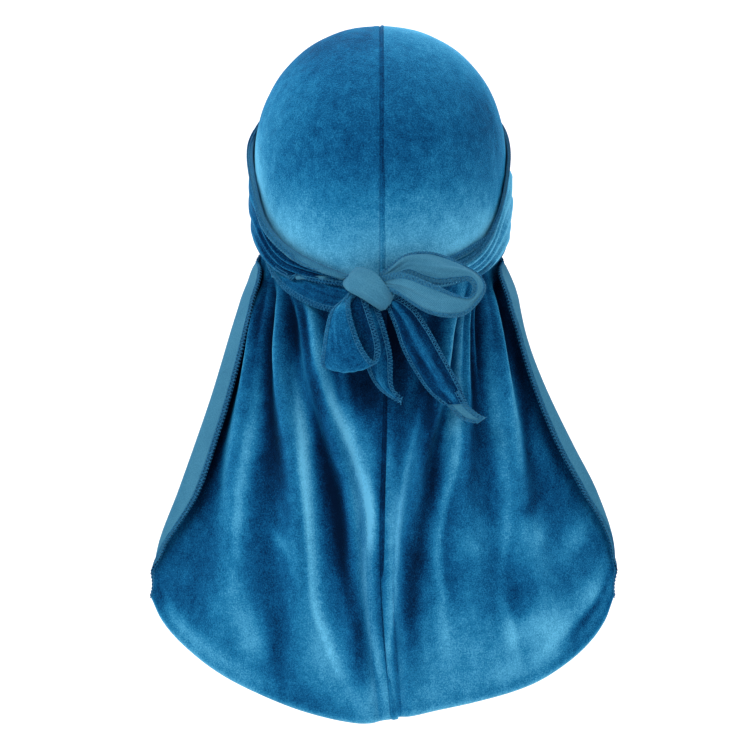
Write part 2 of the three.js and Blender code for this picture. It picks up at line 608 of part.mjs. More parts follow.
// Run of a strap round the head; turn 0 is the back, and it starts on the given side
function strapRun(table, startSide, tie) {
  const rows = [];
  const first = table[0].at;
  const last = table[table.length - 1].at;
  const steps = Math.ceil((last - first) / TURN_STEP);
  for (let i = 0; i <= steps; i += 1) {
    const turn = mix(first, last, i / steps);
    const up = -NAPE_DROP * read(table, "up", turn);
    const low = -NAPE_DROP * read(table, "low", turn);
    const off = read(table, "off", turn);
    const pleat = PLEAT_HEIGHT * read(table, "pleat", turn);
    const flare = FLARE_REACH * read(table, "flare", turn);
    const pressed =
      smooth(PRESS_START, PRESS_FULL, turn) - smooth(PRESS_EASING, PRESS_END, turn);
    const row = [];
    for (let c = 0; c <= STRAP_COLUMNS; c += 1) {
      const share = c / STRAP_COLUMNS;
      const z = mix(up, low, share);
      const direction = new THREE.Vector3(
        startSide * Math.sin(radians(turn)),
        -Math.cos(radians(turn)),
        0,
      );
      const p = crownHit(new THREE.Vector3(0, 0, z), direction);
      const loose = mix(1, smooth(FLAT_SHARE, LOOSE_SHARE, share), pressed);
      const raised = c % 2 === 1 ? pleat : 0;
      const lift = mix(UNDER, off + raised, loose) + flare * share ** FLARE_BEND;
      row.push(p.addScaledVector(crownNormal(p), lift));
    }
    rows.push(row);
  }
  for (const station of tie) {
    const a = fromKnot(station.a);
    const b = fromKnot(station.b);
    const row = [];
    for (let c = 0; c <= STRAP_COLUMNS; c += 1) {
      row.push(a.clone().lerp(b, c / STRAP_COLUMNS));
    }
    rows.push(row);
  }
  return clothSolid(rows, -startSide);
}

// Band of cloth between two edges, bulged to its outer side
function band(stations, faceSide) {
  const rows = stations.map((station) => {
    const bulge = BOW_LENGTH * station.bulge;
    return { a: fromKnot(station.a), b: fromKnot(station.b), bulge };
  });
  const grid = rows.map(({ a, b, bulge }, i) => {
    const before = rows[Math.max(i - 1, 0)];
    const after = rows[Math.min(i + 1, rows.length - 1)];
    const along = after.a.clone().add(after.b).sub(before.a).sub(before.b);
    const across = b.clone().sub(a);
    const outer = across.clone().cross(along).normalize().multiplyScalar(-faceSide);
    const row = [];
    for (let c = 0; c <= BAND_COLUMNS; c += 1) {
      const share = c / BAND_COLUMNS;
      const p = a.clone().lerp(b, share);
      row.push(p.addScaledVector(outer, bulge * 4 * share * (1 - share)));
    }
    return row;
  });
  return clothSolid(grid, faceSide);
}

// Folded cloth inside the knot
function knotCore() {
  const mesh = solidTools.Manifold.sphere(1, KNOT_SIDES).getMesh();
  const half = new THREE.Vector3(...KNOT_CORE.half).multiplyScalar(BOW_LENGTH);
  const points = [];
  for (let i = 0; i < mesh.vertProperties.length; i += 3) {
    const p = new THREE.Vector3(...mesh.vertProperties.slice(i, i + 3));
    points.push(p.multiply(half).add(fromKnot(KNOT_CORE.centre)));
  }
  const triangles = [];
  for (let i = 0; i < mesh.triVerts.length; i += 3) {
    triangles.push(Array.from(mesh.triVerts.slice(i, i + 3)));
  }
  return { points, triangles };
}

function makeStrapRight() {
  return joined([
    strapRun(RIGHT_STRAP, -1, RIGHT_TIE),
    band(KNOT_BAND, -1),
    band(BOW_LOOP, -1),
    band(LONG_TAIL, -1),
    band(TAIL_TIP, -1),
  ]);
}

function makeStrapLeft() {
  return joined([
    strapRun(LEFT_STRAP, 1, LEFT_TIE),
    knotCore(),
    band(HANGING_LOOP, -1),
    band(SHORT_TAIL, -1),
  ]);
}

const durag = new THREE.Group();
durag.add(clothNode("panel_left", geometryOf(makePanel(-1)), VELVET_COLOUR));
durag.add(clothNode("panel_right", geometryOf(makePanel(1)), VELVET_COLOUR));
durag.add(clothNode("strap_left", makeStrapLeft(), STRAP_COLOUR));
durag.add(clothNode("strap_right", makeStrapRight(), STRAP_COLOUR));

export default durag;
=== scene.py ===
"""Looks of the durag in its worn form: velvet, knit backing and overlock threads."""
import math

import bpy
import numpy as np
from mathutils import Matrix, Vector


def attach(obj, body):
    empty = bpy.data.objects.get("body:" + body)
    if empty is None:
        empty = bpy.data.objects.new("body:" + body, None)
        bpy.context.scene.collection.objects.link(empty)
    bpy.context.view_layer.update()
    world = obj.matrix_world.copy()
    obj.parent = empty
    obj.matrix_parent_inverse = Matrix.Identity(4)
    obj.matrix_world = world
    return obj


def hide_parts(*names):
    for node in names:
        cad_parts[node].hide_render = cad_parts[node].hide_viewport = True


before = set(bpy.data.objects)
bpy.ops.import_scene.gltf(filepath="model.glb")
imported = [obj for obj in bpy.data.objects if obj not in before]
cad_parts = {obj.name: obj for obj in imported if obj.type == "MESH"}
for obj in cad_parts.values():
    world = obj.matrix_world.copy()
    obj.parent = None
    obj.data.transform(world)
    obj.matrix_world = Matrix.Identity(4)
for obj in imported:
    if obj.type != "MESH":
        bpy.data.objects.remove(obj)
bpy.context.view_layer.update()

# Lengths in the tables are in millimetres
MM = 0.001
WALL = 1.0
SEAM_GAP = 0.3
SIDE_NAMES = {-1: "left", 1: "right"}
LAYER_GAP = 0.75

# Head form that the crown takes
CROWN_HALF_WIDTH = 77.2
CROWN_BACK = 96.0
CROWN_FRONT = 96.0
DOME_HEIGHT = 82.0
DOME_ROUNDNESS = 2.1
PLAN_ROUNDNESS = 2.2
NAPE_DROP = 150.0
SIDE_TAPER = 0.08
NAPE_TAPER = 0.12
FAN_HEIGHT = -118.0
BROW_ANGLE = 27.0
NAPE_ANGLE = 200.0
HEAD_RADIUS = 75.0

# Search for the head form along a ray, and the step that gives its slope
RAY_LENGTH = 200.0
RAY_HALVINGS = 30
SLOPE_STEP = 0.5
TINY = 1e-9

# Side edge of the crown: spread in degrees at each angle of the fan
CROWN_EDGE = {
    "at": [27, 60, 90, 120, 150, 180, 200],
    "spread": [66, 68, 69, 70, 71, 69.5, 64],
}

# Centre seam: the strip raised beside it at the left, its dip and its dark line
STRIP_WIDTH = 3.2
STRIP_EDGE = 4.4
STRIP_RISE = 0.2
SEAM_DIP = 0.6
SEAM_DIP_REACH = 0.6
SEAM_TONE = 0.16
SEAM_TONE_REACH = 0.5

# Shape of the cape at shares of its length, its hem, and the folds at shares of its cloth
CAPE_LENGTH = 262.0
CAPE = {
    "at": [0.0, 0.04, 0.12, 0.25, 0.4, 0.57, 0.7, 0.85, 1.0],
    "left": [69, 76, 77.1, 83.5, 93.4, 106.1, 116.6, 129.2, 136.7],
    "right": [69, 75, 75.8, 80.9, 93.6, 110.5, 125.2, 137.4, 140.1],
    "seam": [1, 1, 1.5, 2.3, 1.2, 0, 0.5, 3, 6.5],
    "back": [84, 85, 88, 92, 96, 99, 101, 103, 104],
    "forward": [50, 50, 46, 38, 37, 38, 40, 42, 42],
    "round": [0.93, 0.92, 0.86, 0.78, 0.74, 0.68, 0.65, 0.6, 0.6],
}
HEM = {
    "at": [0.0, 0.16, 0.38, 0.6, 0.75, 0.88, 0.96, 1.0],
    "left": [3, 0.8, 7.1, 18.3, 29.3, 43.1, 56, 68],
    "right": [3.5, 7.4, 12.9, 20, 30, 42.8, 55.3, 68],
}
FOLD_LEVELS = [0.08, 0.24, 0.48, 0.72, 1.0]
FOLDS = {
    -1: [
        (0.25, [0.52, 0.42, 0.14, 0.085, 0.06], [3, 9, 10, 7, 3]),
        (0.5, [0.725, 0.67, 0.463, 0.375, 0.36], [4, 10, 9, 4, 0.5]),
        (0.75, [0.89, 0.865, 0.83, 0.73, 0.72], [4, 9, 7, 2.5, 0.5]),
    ],
    1: [
        (0.25, [0.5, 0.367, 0.147, 0.075, 0.055], [3, 9, 10, 7, 3]),
        (0.5, [0.62, 0.55, 0.445, 0.4, 0.38], [3, 7, 6, 2, 0.5]),
        (0.75, [0.81, 0.803, 0.739, 0.675, 0.66], [4, 10, 9, 4, 0.5]),
    ],
}
FOLD_SPREAD = 0.125
FOLD_DEPTH = 10.0
FOLD_START = 0.03
FOLD_FULL = 0.14
FOLD_SHARPNESS = 1.25
GATHER_HEIGHT = 1.5
GATHERS = 8.5
GATHER_WANDER = 0.5
GATHER_SWING = 9
GATHER_LEVELS = (0.07, 0.13, 0.16, 0.42)
GATHER_START = 0.04
GATHER_FULL = 0.12
SETTLE_START = 0.05
SETTLE_END = 0.17

# Side edges turned outward: where the turn starts and ends, its width and its roll
LAPEL_START = 0.03
LAPEL_FOLDED = 0.06
LAPEL_ENDING = 0.88
LAPEL_END = 0.97
LEAST_FOLDED = 0.01
LAPEL = {
    "at": [0, 0.03, 0.06, 0.075, 0.1, 0.17, 0.25, 0.38, 0.55, 0.69, 0.78, 0.84, 0.89, 0.95, 1],
    "left": [
        0.75, 0.75, 2.25, 10.5, 13.95, 13.95, 13.95, 14.55, 15, 15, 10.05, 5.1, 2.4, 0.4, 0.2
    ],
    "right": [
        0.75, 0.75, 2.25, 10.5, 13.95, 11.55, 7.05, 8.25, 10.8, 9.6, 4.2, 1.65, 0.9, 0.4, 0.2
    ],
    "radius": [0.5, 0.5, 1, 1.6, 2, 2.2, 2.4, 2.5, 2.5, 2.4, 2.2, 1.8, 1.2, 0.55, 0.12],
}

# Patches of painted highlight (pale) and painted shade (dark), by side. Crown: fan and spread in
# degrees, reach along each, strength. Cape: share across and down, reach of each, slant, strength
CROWN_PAINTED_LIGHT = {
    -1: [
        (96, 30, 22, 34, -0.18),
        (178, 14, 14, 12, -0.05),
        (130, 64, 55, 11, 0.6),
        (112, 12, 14, 14, -0.16),
    ],
    1: [
        (90, 26, 14, 30, 0.22),
        (142, 44, 22, 18, -0.06),
        (125, 38, 22, 12, -0.18),
        (95, 10, 12, 10, 0.15),
        (130, 70, 60, 10, -0.2),
    ],
}
CAPE_PAINTED_LIGHT = {
    -1: [
        (0.93, 0.2, 0.05, 0.09, 0, -0.3),
        (0.92, 0.38, 0.05, 0.1, 0.06, -0.3),
        (0.93, 0.57, 0.04, 0.09, -0.07, -0.22),
        (0.44, 0.3, 0.06, 0.11, -1.1, -0.3),
        (0.29, 0.46, 0.07, 0.12, -0.86, -0.35),
        (0.19, 0.64, 0.04, 0.11, -0.39, -0.35),
        (0.12, 0.82, 0.04, 0.11, 0, -0.3),
        (0.18, 0.34, 0.09, 0.07, -1.44, 0.25),
        (0.06, 0.51, 0.04, 0.13, -0.05, 0.2),
        (0.51, 0.64, 0.06, 0.02, -0.62, 0.22),
        (0.81, 0.96, 0.11, 0.03, -1.27, 0.2),
        (0.59, 0.97, 0.15, 0.03, -0.63, 0.2),
        (0.88, 0.97, 0.07, 0.03, -1, 0.22),
        (0.36, 0.97, 0.1, 0.03, 0, -0.1),
        (0.64, 0.84, 0.08, 0.08, -0.56, 0.25),
        (0.29, 0.82, 0.08, 0.11, 0, 0.3),
        (0.49, 0.88, 0.06, 0.1, 0, -0.18),
        (0.98, 0.95, 0.02, 0.02, -0.51, -0.18),
        (0.15, 0.27, 0.12, 0.05, -0.13, -0.15),
        (0.71, 0.39, 0.06, 0.15, -0.59, -0.12),
        (0.65, 0.38, 0.065, 0.18, -0.77, -0.45),
        (0.62, 0.15, 0.1, 0.05, 0, -0.22),
        (0.42, 0.25, 0.05, 0.06, -0.8, -0.22),
        (0.57, 0.89, 0.07, 0.06, 0, 0.22),
        (0.1, 0.47, 0.07, 0.12, -0.2, 0.18),
        (0.21, 0.54, 0.04, 0.14, -0.35, -0.16),
        (0.22, 0.87, 0.09, 0.07, 0, 0.2),
        (0.1, 0.95, 0.14, 0.05, 0, 0.28),
    ],
    1: [
        (0.1, 0.11, 0.1, 0.09, 0.21, -0.4),
        (0.35, 0.35, 0.05, 0.09, -1.07, -0.3),
        (0.3, 0.31, 0.05, 0.12, -0.46, -0.38),
        (0.53, 0.45, 0.05, 0.14, -0.5, -0.28),
        (0.83, 0.5, 0.05, 0.13, -0.77, -0.3),
        (0.03, 0.45, 0.05, 0.12, 0, 0.26),
        (0.12, 0.72, 0.04, 0.22, -0.05, -0.2),
        (0.24, 0.54, 0.05, 0.09, 0, 0.18),
        (0.25, 0.5, 0.06, 0.11, -0.63, -0.35),
        (0.18, 0.64, 0.05, 0.09, -0.4, -0.3),
        (0.13, 0.77, 0.04, 0.07, -0.17, -0.18),
        (0.04, 0.56, 0.04, 0.2, -0.06, 0.15),
        (0.64, 0.3, 0.06, 0.12, -0.63, -0.28),
        (0.9, 0.2, 0.06, 0.08, -0.4, -0.25),
        (0.42, 0.36, 0.03, 0.09, -0.7, 0.2),
        (0.88, 0.48, 0.06, 0.1, 0.06, 0.15),
        (0.96, 0.3, 0.03, 0.11, -0.35, -0.22),
        (0.96, 0.52, 0.02, 0.07, -0.17, -0.12),
        (0.76, 0.61, 0.06, 0.02, -0.76, -0.25),
        (0.65, 0.66, 0.12, 0.08, 0, 0.16),
        (0.88, 0.74, 0.1, 0.04, -0.76, 0.3),
        (0.76, 0.68, 0.05, 0.02, -0.76, 0.15),
        (0.65, 0.77, 0.06, 0.04, -0.53, -0.08),
        (0.92, 0.9, 0.07, 0.06, 0, 0.3),
        (0.42, 0.63, 0.12, 0.05, -0.46, 0.12),
        (0.25, 0.85, 0.15, 0.11, -0.21, 0.28),
        (0.25, 0.96, 0.18, 0.05, 0, 0.2),
        (0.63, 0.87, 0.2, 0.05, 0, 0.34),
        (0.51, 0.95, 0.1, 0.04, 0, 0.3),
        (0.9, 0.93, 0.08, 0.02, -2, -0.35),
        (0.72, 0.93, 0.1, 0.05, -1.2, 0.35),
    ],
}

# Painted light in the cape and at the nape: painted shadow inside the lapels, painted shade under
# the strap and in the valleys, painted highlights on the crests, hem and nape, painted light on
# the gathers, and a plain cape tone; and where they start, are full, ease and end
LAPEL_SHADE = {-1: 0.35, 1: 0.1}
LAPEL_SHADE_REACH = 6
LAPEL_SHADE_LEVELS = (0.04, 0.1, 0.6, 0.8)
UNDER_STRAP_PAINTED_SHADE = 0.14
UNDER_STRAP_LEVELS = (0.01, 0.06, 0.1, 0.3)
CAPE_TONE = 0.06
CREST_PAINTED_HIGHLIGHT = 0.12
VALLEY_PAINTED_SHADE = 0.2
GATHER_PAINTED_LIGHT = 0.1
HEM_PAINTED_HIGHLIGHT = 0.22
HEM_TONE_REACH = 3.0
NAPE_PAINTED_HIGHLIGHT = 0.42
NAPE_PALE_START = 152
NAPE_PALE_END = 194
NAPE_TONE_END = 0.03

# Narrow painted highlights along the folds, by side: share across and strength at each level
RIDGE_LEVELS = [0.15, 0.25, 0.35, 0.45, 0.55, 0.65, 0.75, 0.85, 0.95]
RIDGE_OUTER = 2.2
RIDGE_INNER = 5.2
RIDGE_SHIFT = {-1: 1.8, 1: 0.6}
RIDGE_HIGHLIGHT_STRENGTH = 1.55
CAPE_RIDGE_HIGHLIGHTS = {
    -1: [
        (
            [0.874, 0.835, 0.815, 0.8, 0.785, 0.755, 0.725, 0.725, 0.725],
            [-0.02, 0.05, 0.17, 0.23, 0.22, 0.16, 0.05, 0, 0],
        ),
        (
            [0.724, 0.635, 0.54, 0.47, 0.41, 0.37, 0.342, 0.264, 0.188],
            [0.02, 0.14, 0.32, 0.36, 0.34, 0.27, 0.2, 0.14, 0],
        ),
        (
            [0.534, 0.415, 0.262, 0.145, 0.082, 0.09, 0.081, 0.059, 0.031],
            [0.14, 0.2, 0.34, 0.36, 0.36, 0.26, 0.22, 0.26, 0.1],
        ),
    ],
    1: [
        (
            [0.486, 0.329, 0.218, 0.145, 0.102, 0.076, 0.051, 0.019, 0.019],
            [0.02, 0.02, 0.12, 0.26, 0.32, 0.26, 0.24, 0.22, 0.1],
        ),
        (
            [0.595, 0.542, 0.491, 0.432, 0.34, 0.286, 0.281, 0.269, 0.269],
            [0.14, 0.18, 0.2, 0.22, 0.24, 0.2, 0.16, 0.08, 0],
        ),
        (
            [0.776, 0.75, 0.73, 0.705, 0.68, 0.62, 0.546, 0.55, 0.569],
            [-0.05, 0.05, 0.16, 0.16, 0.14, 0.1, 0.08, 0.17, 0],
        ),
    ],
}

# Runs of the straps round the head: turn in degrees, heights of the two edges as shares of the
# nape's drop, height off the head, pleats and flare
UNDER = LAYER_GAP + WALL
LAYER_EASE = 0.2
OVER = 2 * UNDER + LAYER_EASE
PLEAT_HEIGHT = 2.3
FLARE_REACH = 5.0
PRESS_START = 206
PRESS_FULL = 225
PRESS_EASING = 290
PRESS_END = 318
FLAT_SHARE = 0.15
LOOSE_SHARE = 0.5
STRAP_COLUMNS = ("at", "up", "low", "off", "pleat", "flare")
RIGHT_STRAP_ROWS = [
    (12, 1.04, 1.14, UNDER, 0.25, 0.6),
    (22, 1.013, 1.12, UNDER, 0.25, 1.24),
    (34, 0.96, 1.07, UNDER, 0.2, 1.52),
    (45, 0.933, 1.013, UNDER, 0.2, 1.2),
    (57, 0.86, 0.93, UNDER, 0.15, 0.48),
    (70, 0.773, 0.847, UNDER, 0, 0),
    (90, 0.693, 0.8, UNDER, 0, 0),
    (120, 0.613, 0.747, UNDER, 0, 0),
    (142, 0.573, 0.707, UNDER, 0, 0),
    (158, 0.547, 0.693, UNDER, 0, 0),
    (172, 0.533, 0.693, OVER, 0.25, 0),
    (190, 0.4, 0.68, OVER, 0.5, 0),
    (206, 0.32, 0.667, OVER, 0.75, 0),
    (225, 0.31, 0.693, OVER, 1, 0),
    (250, 0.387, 0.793, OVER, 1, 0),
    (270, 0.467, 0.847, OVER, 0.9, 0),
    (284, 0.56, 0.867, OVER, 0.9, 0),
    (294, 0.66, 0.893, OVER, 1, 0.4),
    (307, 0.807, 0.937, OVER, 0.9, 0.8),
    (318, 0.9, 0.987, OVER, 0.75, 0.6),
    (330, 0.953, 1.027, OVER, 0.6, 0.2),
    (345, 0.98, 1.047, OVER, 0.5, 0.2),
]
LEFT_STRAP_ROWS = [
    (15, 0.973, 1.027, UNDER, 0.15, 0.1),
    (30, 0.927, 0.987, UNDER, 0.15, 0.1),
    (45, 0.867, 0.927, UNDER, 0.15, 0.1),
    (57, 0.82, 0.88, UNDER, 0, 0.1),
    (72, 0.76, 0.84, UNDER, 0, 0),
    (90, 0.693, 0.813, UNDER, 0, 0),
    (115, 0.6, 0.747, UNDER, 0, 0),
    (138, 0.507, 0.653, UNDER, 0, 0),
    (158, 0.4, 0.587, UNDER, 0, 0),
    (172, 0.333, 0.533, UNDER, 0, 0),
    (188, 0.293, 0.507, UNDER, 0, 0),
    (202, 0.28, 0.513, OVER, 0.5, 0),
    (225, 0.3, 0.653, OVER, 0.9, 0),
    (250, 0.387, 0.78, OVER, 0.5, 0),
    (270, 0.46, 0.847, OVER, 0.4, 0),
    (284, 0.547, 0.867, OVER, 0.6, 0),
    (294, 0.627, 0.893, OVER, 0.8, 0.1),
    (306, 0.753, 0.933, OVER, 1, 0.4),
    (318, 0.847, 0.98, OVER, 0.9, 0.5),
    (328, 0.903, 1.003, OVER, 0.8, 0.4),
    (337, 0.943, 1.02, OVER, 0.65, 0.3),
    (346, 0.977, 1.03, OVER, 0.5, 0.2),
]

# Two edges of each strap where it goes into the knot
LEFT_TIE = [
    ((-17, -93, -148), (-17, -92, -156)),
    ((-9, -98, -150), (-9, -98, -159)),
]
RIGHT_TIE = [
    ((14, -92, -148), (14, -92, -158)),
    ((5, -97, -150), (5, -98, -165)),
    ((8, -103, -155), (8, -104, -166)),
]

# Tied ends: the two edges of the band and its bulge at each station
KNOT_BAND = [
    ((-14, -94, -144), (-21.5, -94, -151), 0),
    ((-14.5, -102, -143), (-21.5, -102, -153.5), 0.5),
    ((-9.5, -109, -143), (-18.5, -108.5, -156.5), 1.5),
    ((-2.5, -112.5, -146), (-11, -111.5, -160.5), 2),
    ((3.5, -112, -153), (-4, -110.5, -165), 2),
    ((7.5, -106, -160), (0.5, -105, -168), 1),
    ((7, -98, -161), (1, -98, -167), 0),
]
BOW_LOOP = [
    ((0, -104, -146), (1, -106, -151), 0),
    ((8, -99, -139.5), (10, -104, -149), 1),
    ((16, -98, -135.2), (17, -107, -147), 2),
    ((27.5, -97, -134), (24, -109, -150), 3),
    ((38.5, -97, -136.8), (33, -110, -152), 3),
    ((49, -98, -142), (43, -109, -151), 3),
    ((58, -101, -148), (50.5, -108, -150.5), 2),
    ((61, -106, -155), (53, -109, -155), 2),
    ((57, -111, -162.5), (50, -112.5, -160), 2),
    ((48.5, -115, -170), (42, -116.5, -157.5), 3),
    ((38.5, -116, -171.3), (34, -119, -153.5), 3),
    ((27.5, -115, -169), (25.5, -119, -150), 3),
    ((19, -113, -164.5), (16, -116, -146.3), 2),
    ((10, -111, -158.5), (7, -114, -146), 1),
    ((2, -109, -155.5), (-1.5, -110, -148.5), 0),
]
LONG_TAIL = [
    ((7, -102, -160), (2, -101, -164), 0),
    ((11.3, -104, -160), (4.5, -103, -168.5), 1),
    ((20, -105, -166.5), (8.5, -104, -178.5), 2.5),
    ((28, -106, -178), (12.5, -105, -190), 4),
    ((36.6, -107, -193.6), (18, -106, -200.5), 5),
    ((45.3, -107, -209.7), (27.4, -106, -214.4), 5),
    ((50.5, -107, -221.5), (36.7, -107, -222.5), 2),
]
TAIL_TIP = [
    ((45.5, -108.6, -214), (35, -108.6, -217), 1.2),
    ((50, -107.4, -222), (39, -107.2, -223), 0.8),
    ((57, -105.2, -228), (47, -105, -231), 0.5),
    ((61.5, -105, -230), (56.5, -105, -233.5), 0),
]
HANGING_LOOP = [
    ((-12, -103, -155), (-16.5, -101, -156), 0),
    ((-17, -108.5, -162), (-23, -107.5, -162.5), 0.5),
    ((-17, -116, -168), (-29, -112.5, -168.5), 2),
    ((-14, -119, -179), (-32, -114, -180), 3),
    ((-10, -121, -188.5), (-33.5, -114, -190), 3.5),
    ((-5.5, -120.5, -195), (-34.5, -113, -197), 4),
    ((-2, -118, -197), (-33, -110.5, -200), 4.5),
    ((0, -114.5, -191), (-31, -108, -195), 2),
    ((-1.4, -111, -182), (-29, -107, -183), 1),
    ((-5.4, -107.5, -169.5), (-25, -105.5, -170), 0.5),
    ((-9, -104, -159.5), (-17, -103, -160), 0),
]
SHORT_TAIL = [
    ((-4, -102, -158), (-10, -101, -158), 0),
    ((-1, -102.5, -166), (-9.5, -102, -168), 0.5),
    ((3, -103, -178), (-10, -102, -180), 1.5),
    ((6.7, -103, -194), (-9.5, -102, -195), 2),
    ((7.2, -103, -211), (-6, -102, -206), 2),
    ((10, -103, -216), (0.5, -102.5, -215), 1),
    ((13, -103, -218.5), (12, -103, -222.5), 0),
]


# Value of a column at some places, by a smooth curve through the rows
def read(places, values, at):
    xs = np.asarray(places, float)
    ys = np.asarray(values, float)
    at = np.clip(np.asarray(at, float), xs[0], xs[-1])
    i = np.clip(np.searchsorted(xs, at, side="right") - 1, 0, len(xs) - 2)
    before = np.maximum(np.arange(len(xs)) - 1, 0)
    after = np.minimum(np.arange(len(xs)) + 1, len(xs) - 1)
    slopes = (ys[after] - ys[before]) / (xs[after] - xs[before])
    span = xs[i + 1] - xs[i]
    t = (at - xs[i]) / span
    rise = ys[i + 1] - ys[i]
    inward = slopes[i] * span - rise
    outward = rise - slopes[i + 1] * span
    return ys[i] + t * rise + t * (1 - t) * ((1 - t) * inward + t * outward)


def column(table, name, at):
    return read(table["at"], table[name], at)


def smooth(start, end, value):
    t = np.clip((np.asarray(value, float) - start) / (end - start), 0, 1)
    return t * t * (3 - 2 * t)


def mix(a, b, share):
    return a + (b - a) * share


# One from full to easing, and fading out to start and end
def fade(levels, value):
    start, full, easing, end = levels
    return smooth(start, full, value) * (1 - smooth(easing, end, value))


# Distance along a line of points
def distance_along(points):
    steps = np.linalg.norm(np.diff(points, axis=0), axis=1)
    return np.concatenate([[0], np.cumsum(steps)])


def unit(vectors):
    return vectors / np.maximum(np.linalg.norm(vectors, axis=-1, keepdims=True), TINY)


def outside_crown(p):
    drop = WALL - p[..., 2]
    below = np.clip((drop - DOME_HEIGHT) / (NAPE_DROP - DOME_HEIGHT), 0, 1)
    width = CROWN_HALF_WIDTH * (1 - SIDE_TAPER * below**2)
    depth = np.where(p[..., 1] < 0, CROWN_BACK * (1 - NAPE_TAPER * below**2), CROWN_FRONT)
    plan = (np.abs(p[..., 0]) / width) ** PLAN_ROUNDNESS
    plan = plan + (np.abs(p[..., 1]) / depth) ** PLAN_ROUNDNESS
    rise = np.maximum((DOME_HEIGHT - drop) / DOME_HEIGHT, 0)
    return plan ** (DOME_ROUNDNESS / PLAN_ROUNDNESS) + rise**DOME_ROUNDNESS - 1


def crown_hit(start, direction):
    near = np.zeros(direction.shape[:-1])
    far = np.full(direction.shape[:-1], RAY_LENGTH)
    for _ in range(RAY_HALVINGS):
        middle = (near + far) / 2
        inside = outside_crown(start + direction * middle[..., None]) < 0
        near = np.where(inside, middle, near)
        far = np.where(inside, far, middle)
    return start + direction * near[..., None]


def crown_normal(p):
    parts = []
    for axis in range(3):
        offset = np.zeros(3)
        offset[axis] = SLOPE_STEP
        parts.append(outside_crown(p + offset) - outside_crown(p - offset))
    return unit(np.stack(parts, -1))


def crown_point(side, fan, spread):
    fan, spread = np.broadcast_arrays(np.radians(fan), np.radians(spread))
    direction = np.stack(
        [side * np.sin(spread), np.cos(spread) * np.cos(fan), np.cos(spread) * np.sin(fan)], -1
    )
    return crown_hit(np.array([0, 0, FAN_HEIGHT]), direction)


# Smooth random unevenness over two directions, the same on every run
def ripples(u, v, count, seed):
    source = np.random.default_rng(seed)
    total = np.zeros(np.broadcast(u, v).shape)
    for _ in range(count):
        a, b = source.normal(size=2)
        phase = source.uniform(0, 2 * math.pi)
        total = total + np.sin(2 * math.pi * (a * u + b * v) + phase)
    return total / math.sqrt(count)


def strip_rise(side, distance):
    if side > 0:
        return 0 * distance
    edge = 1 - smooth(STRIP_WIDTH, STRIP_EDGE, distance)
    return STRIP_RISE * edge


# The two cut edges dip into the seam
def seam_dip(distance):
    return -SEAM_DIP * np.exp(-((distance / SEAM_DIP_REACH) ** 2))


def fold_crest(cloth, place):
    away = np.minimum(np.abs(cloth - place) / FOLD_SPREAD, 1)
    return 0.5 * (1 + np.cos(math.pi * away))


def fold_height(side, cloth, down):
    height = 0
    for place, _, heights in FOLDS[side]:
        top = np.maximum(read(FOLD_LEVELS, heights, down), 0)
        height = height + top * fold_crest(cloth, place) ** FOLD_SHARPNESS
    return height * smooth(FOLD_START, FOLD_FULL, down)


# Painted highlights on the crests of the folds and painted shade between them, with patches of
# painted highlight and shade, painted highlights on ridges and hem, painted light on the gathers,
# painted shade under the strap, painted shadow inside the lapel, and the seam's dark line
def cape_tone_and_painted_light(side, cloth, across, down):
    tone_and_painted_light = 0 * cloth
    deepest = 0
    between = 1.0
    for place, _, heights in FOLDS[side]:
        top = float(np.maximum(read(FOLD_LEVELS, heights, down), 0)) / FOLD_DEPTH
        crest = fold_crest(cloth, place)
        tone_and_painted_light = tone_and_painted_light + CREST_PAINTED_HIGHLIGHT * top * crest**4
        between = between * (1 - crest)
        deepest = max(deepest, top)
    tone_and_painted_light = tone_and_painted_light - VALLEY_PAINTED_SHADE * deepest * between + CAPE_TONE
    width = float(column(CAPE, SIDE_NAMES[side], down))
    for places, strengths in CAPE_RIDGE_HIGHLIGHTS[side]:
        away = (across - read(RIDGE_LEVELS, places, down)) * width + RIDGE_SHIFT[side]
        reach = np.where(away > 0, RIDGE_OUTER, RIDGE_INNER)
        strength = RIDGE_HIGHLIGHT_STRENGTH * read(RIDGE_LEVELS, strengths, down)
        tone_and_painted_light = tone_and_painted_light + strength * np.exp(-((away / reach) ** 2))
    tone_and_painted_light = tone_and_painted_light + seam_tone(across * width) + GATHER_PAINTED_LIGHT * gather_height(side, cloth, down)
    tone_and_painted_light = tone_and_painted_light - UNDER_STRAP_PAINTED_SHADE * fade(UNDER_STRAP_LEVELS, down)
    shaded = fade(LAPEL_SHADE_LEVELS, down)
    inside_lapel = (1 - across) * width / LAPEL_SHADE_REACH
    tone_and_painted_light = tone_and_painted_light - LAPEL_SHADE[side] * shaded * np.exp(-(inside_lapel**2))
    above_hem = (1 - down) * CAPE_LENGTH / HEM_TONE_REACH
    tone_and_painted_light = tone_and_painted_light + HEM_PAINTED_HIGHLIGHT * np.exp(-(above_hem**2))
    # Patches of painted highlight and painted shade
    for at_across, at_down, reach_across, reach_down, slant, strength in CAPE_PAINTED_LIGHT[side]:
        below = down - at_down
        u = (across - at_across - slant * below) / reach_across
        tone_and_painted_light = tone_and_painted_light + strength * np.exp(-(u**2) - (below / reach_down) ** 2)
    return tone_and_painted_light


# The pile lies dark along the seam
def seam_tone(distance):
    return -SEAM_TONE * np.exp(-((distance / SEAM_TONE_REACH) ** 2))


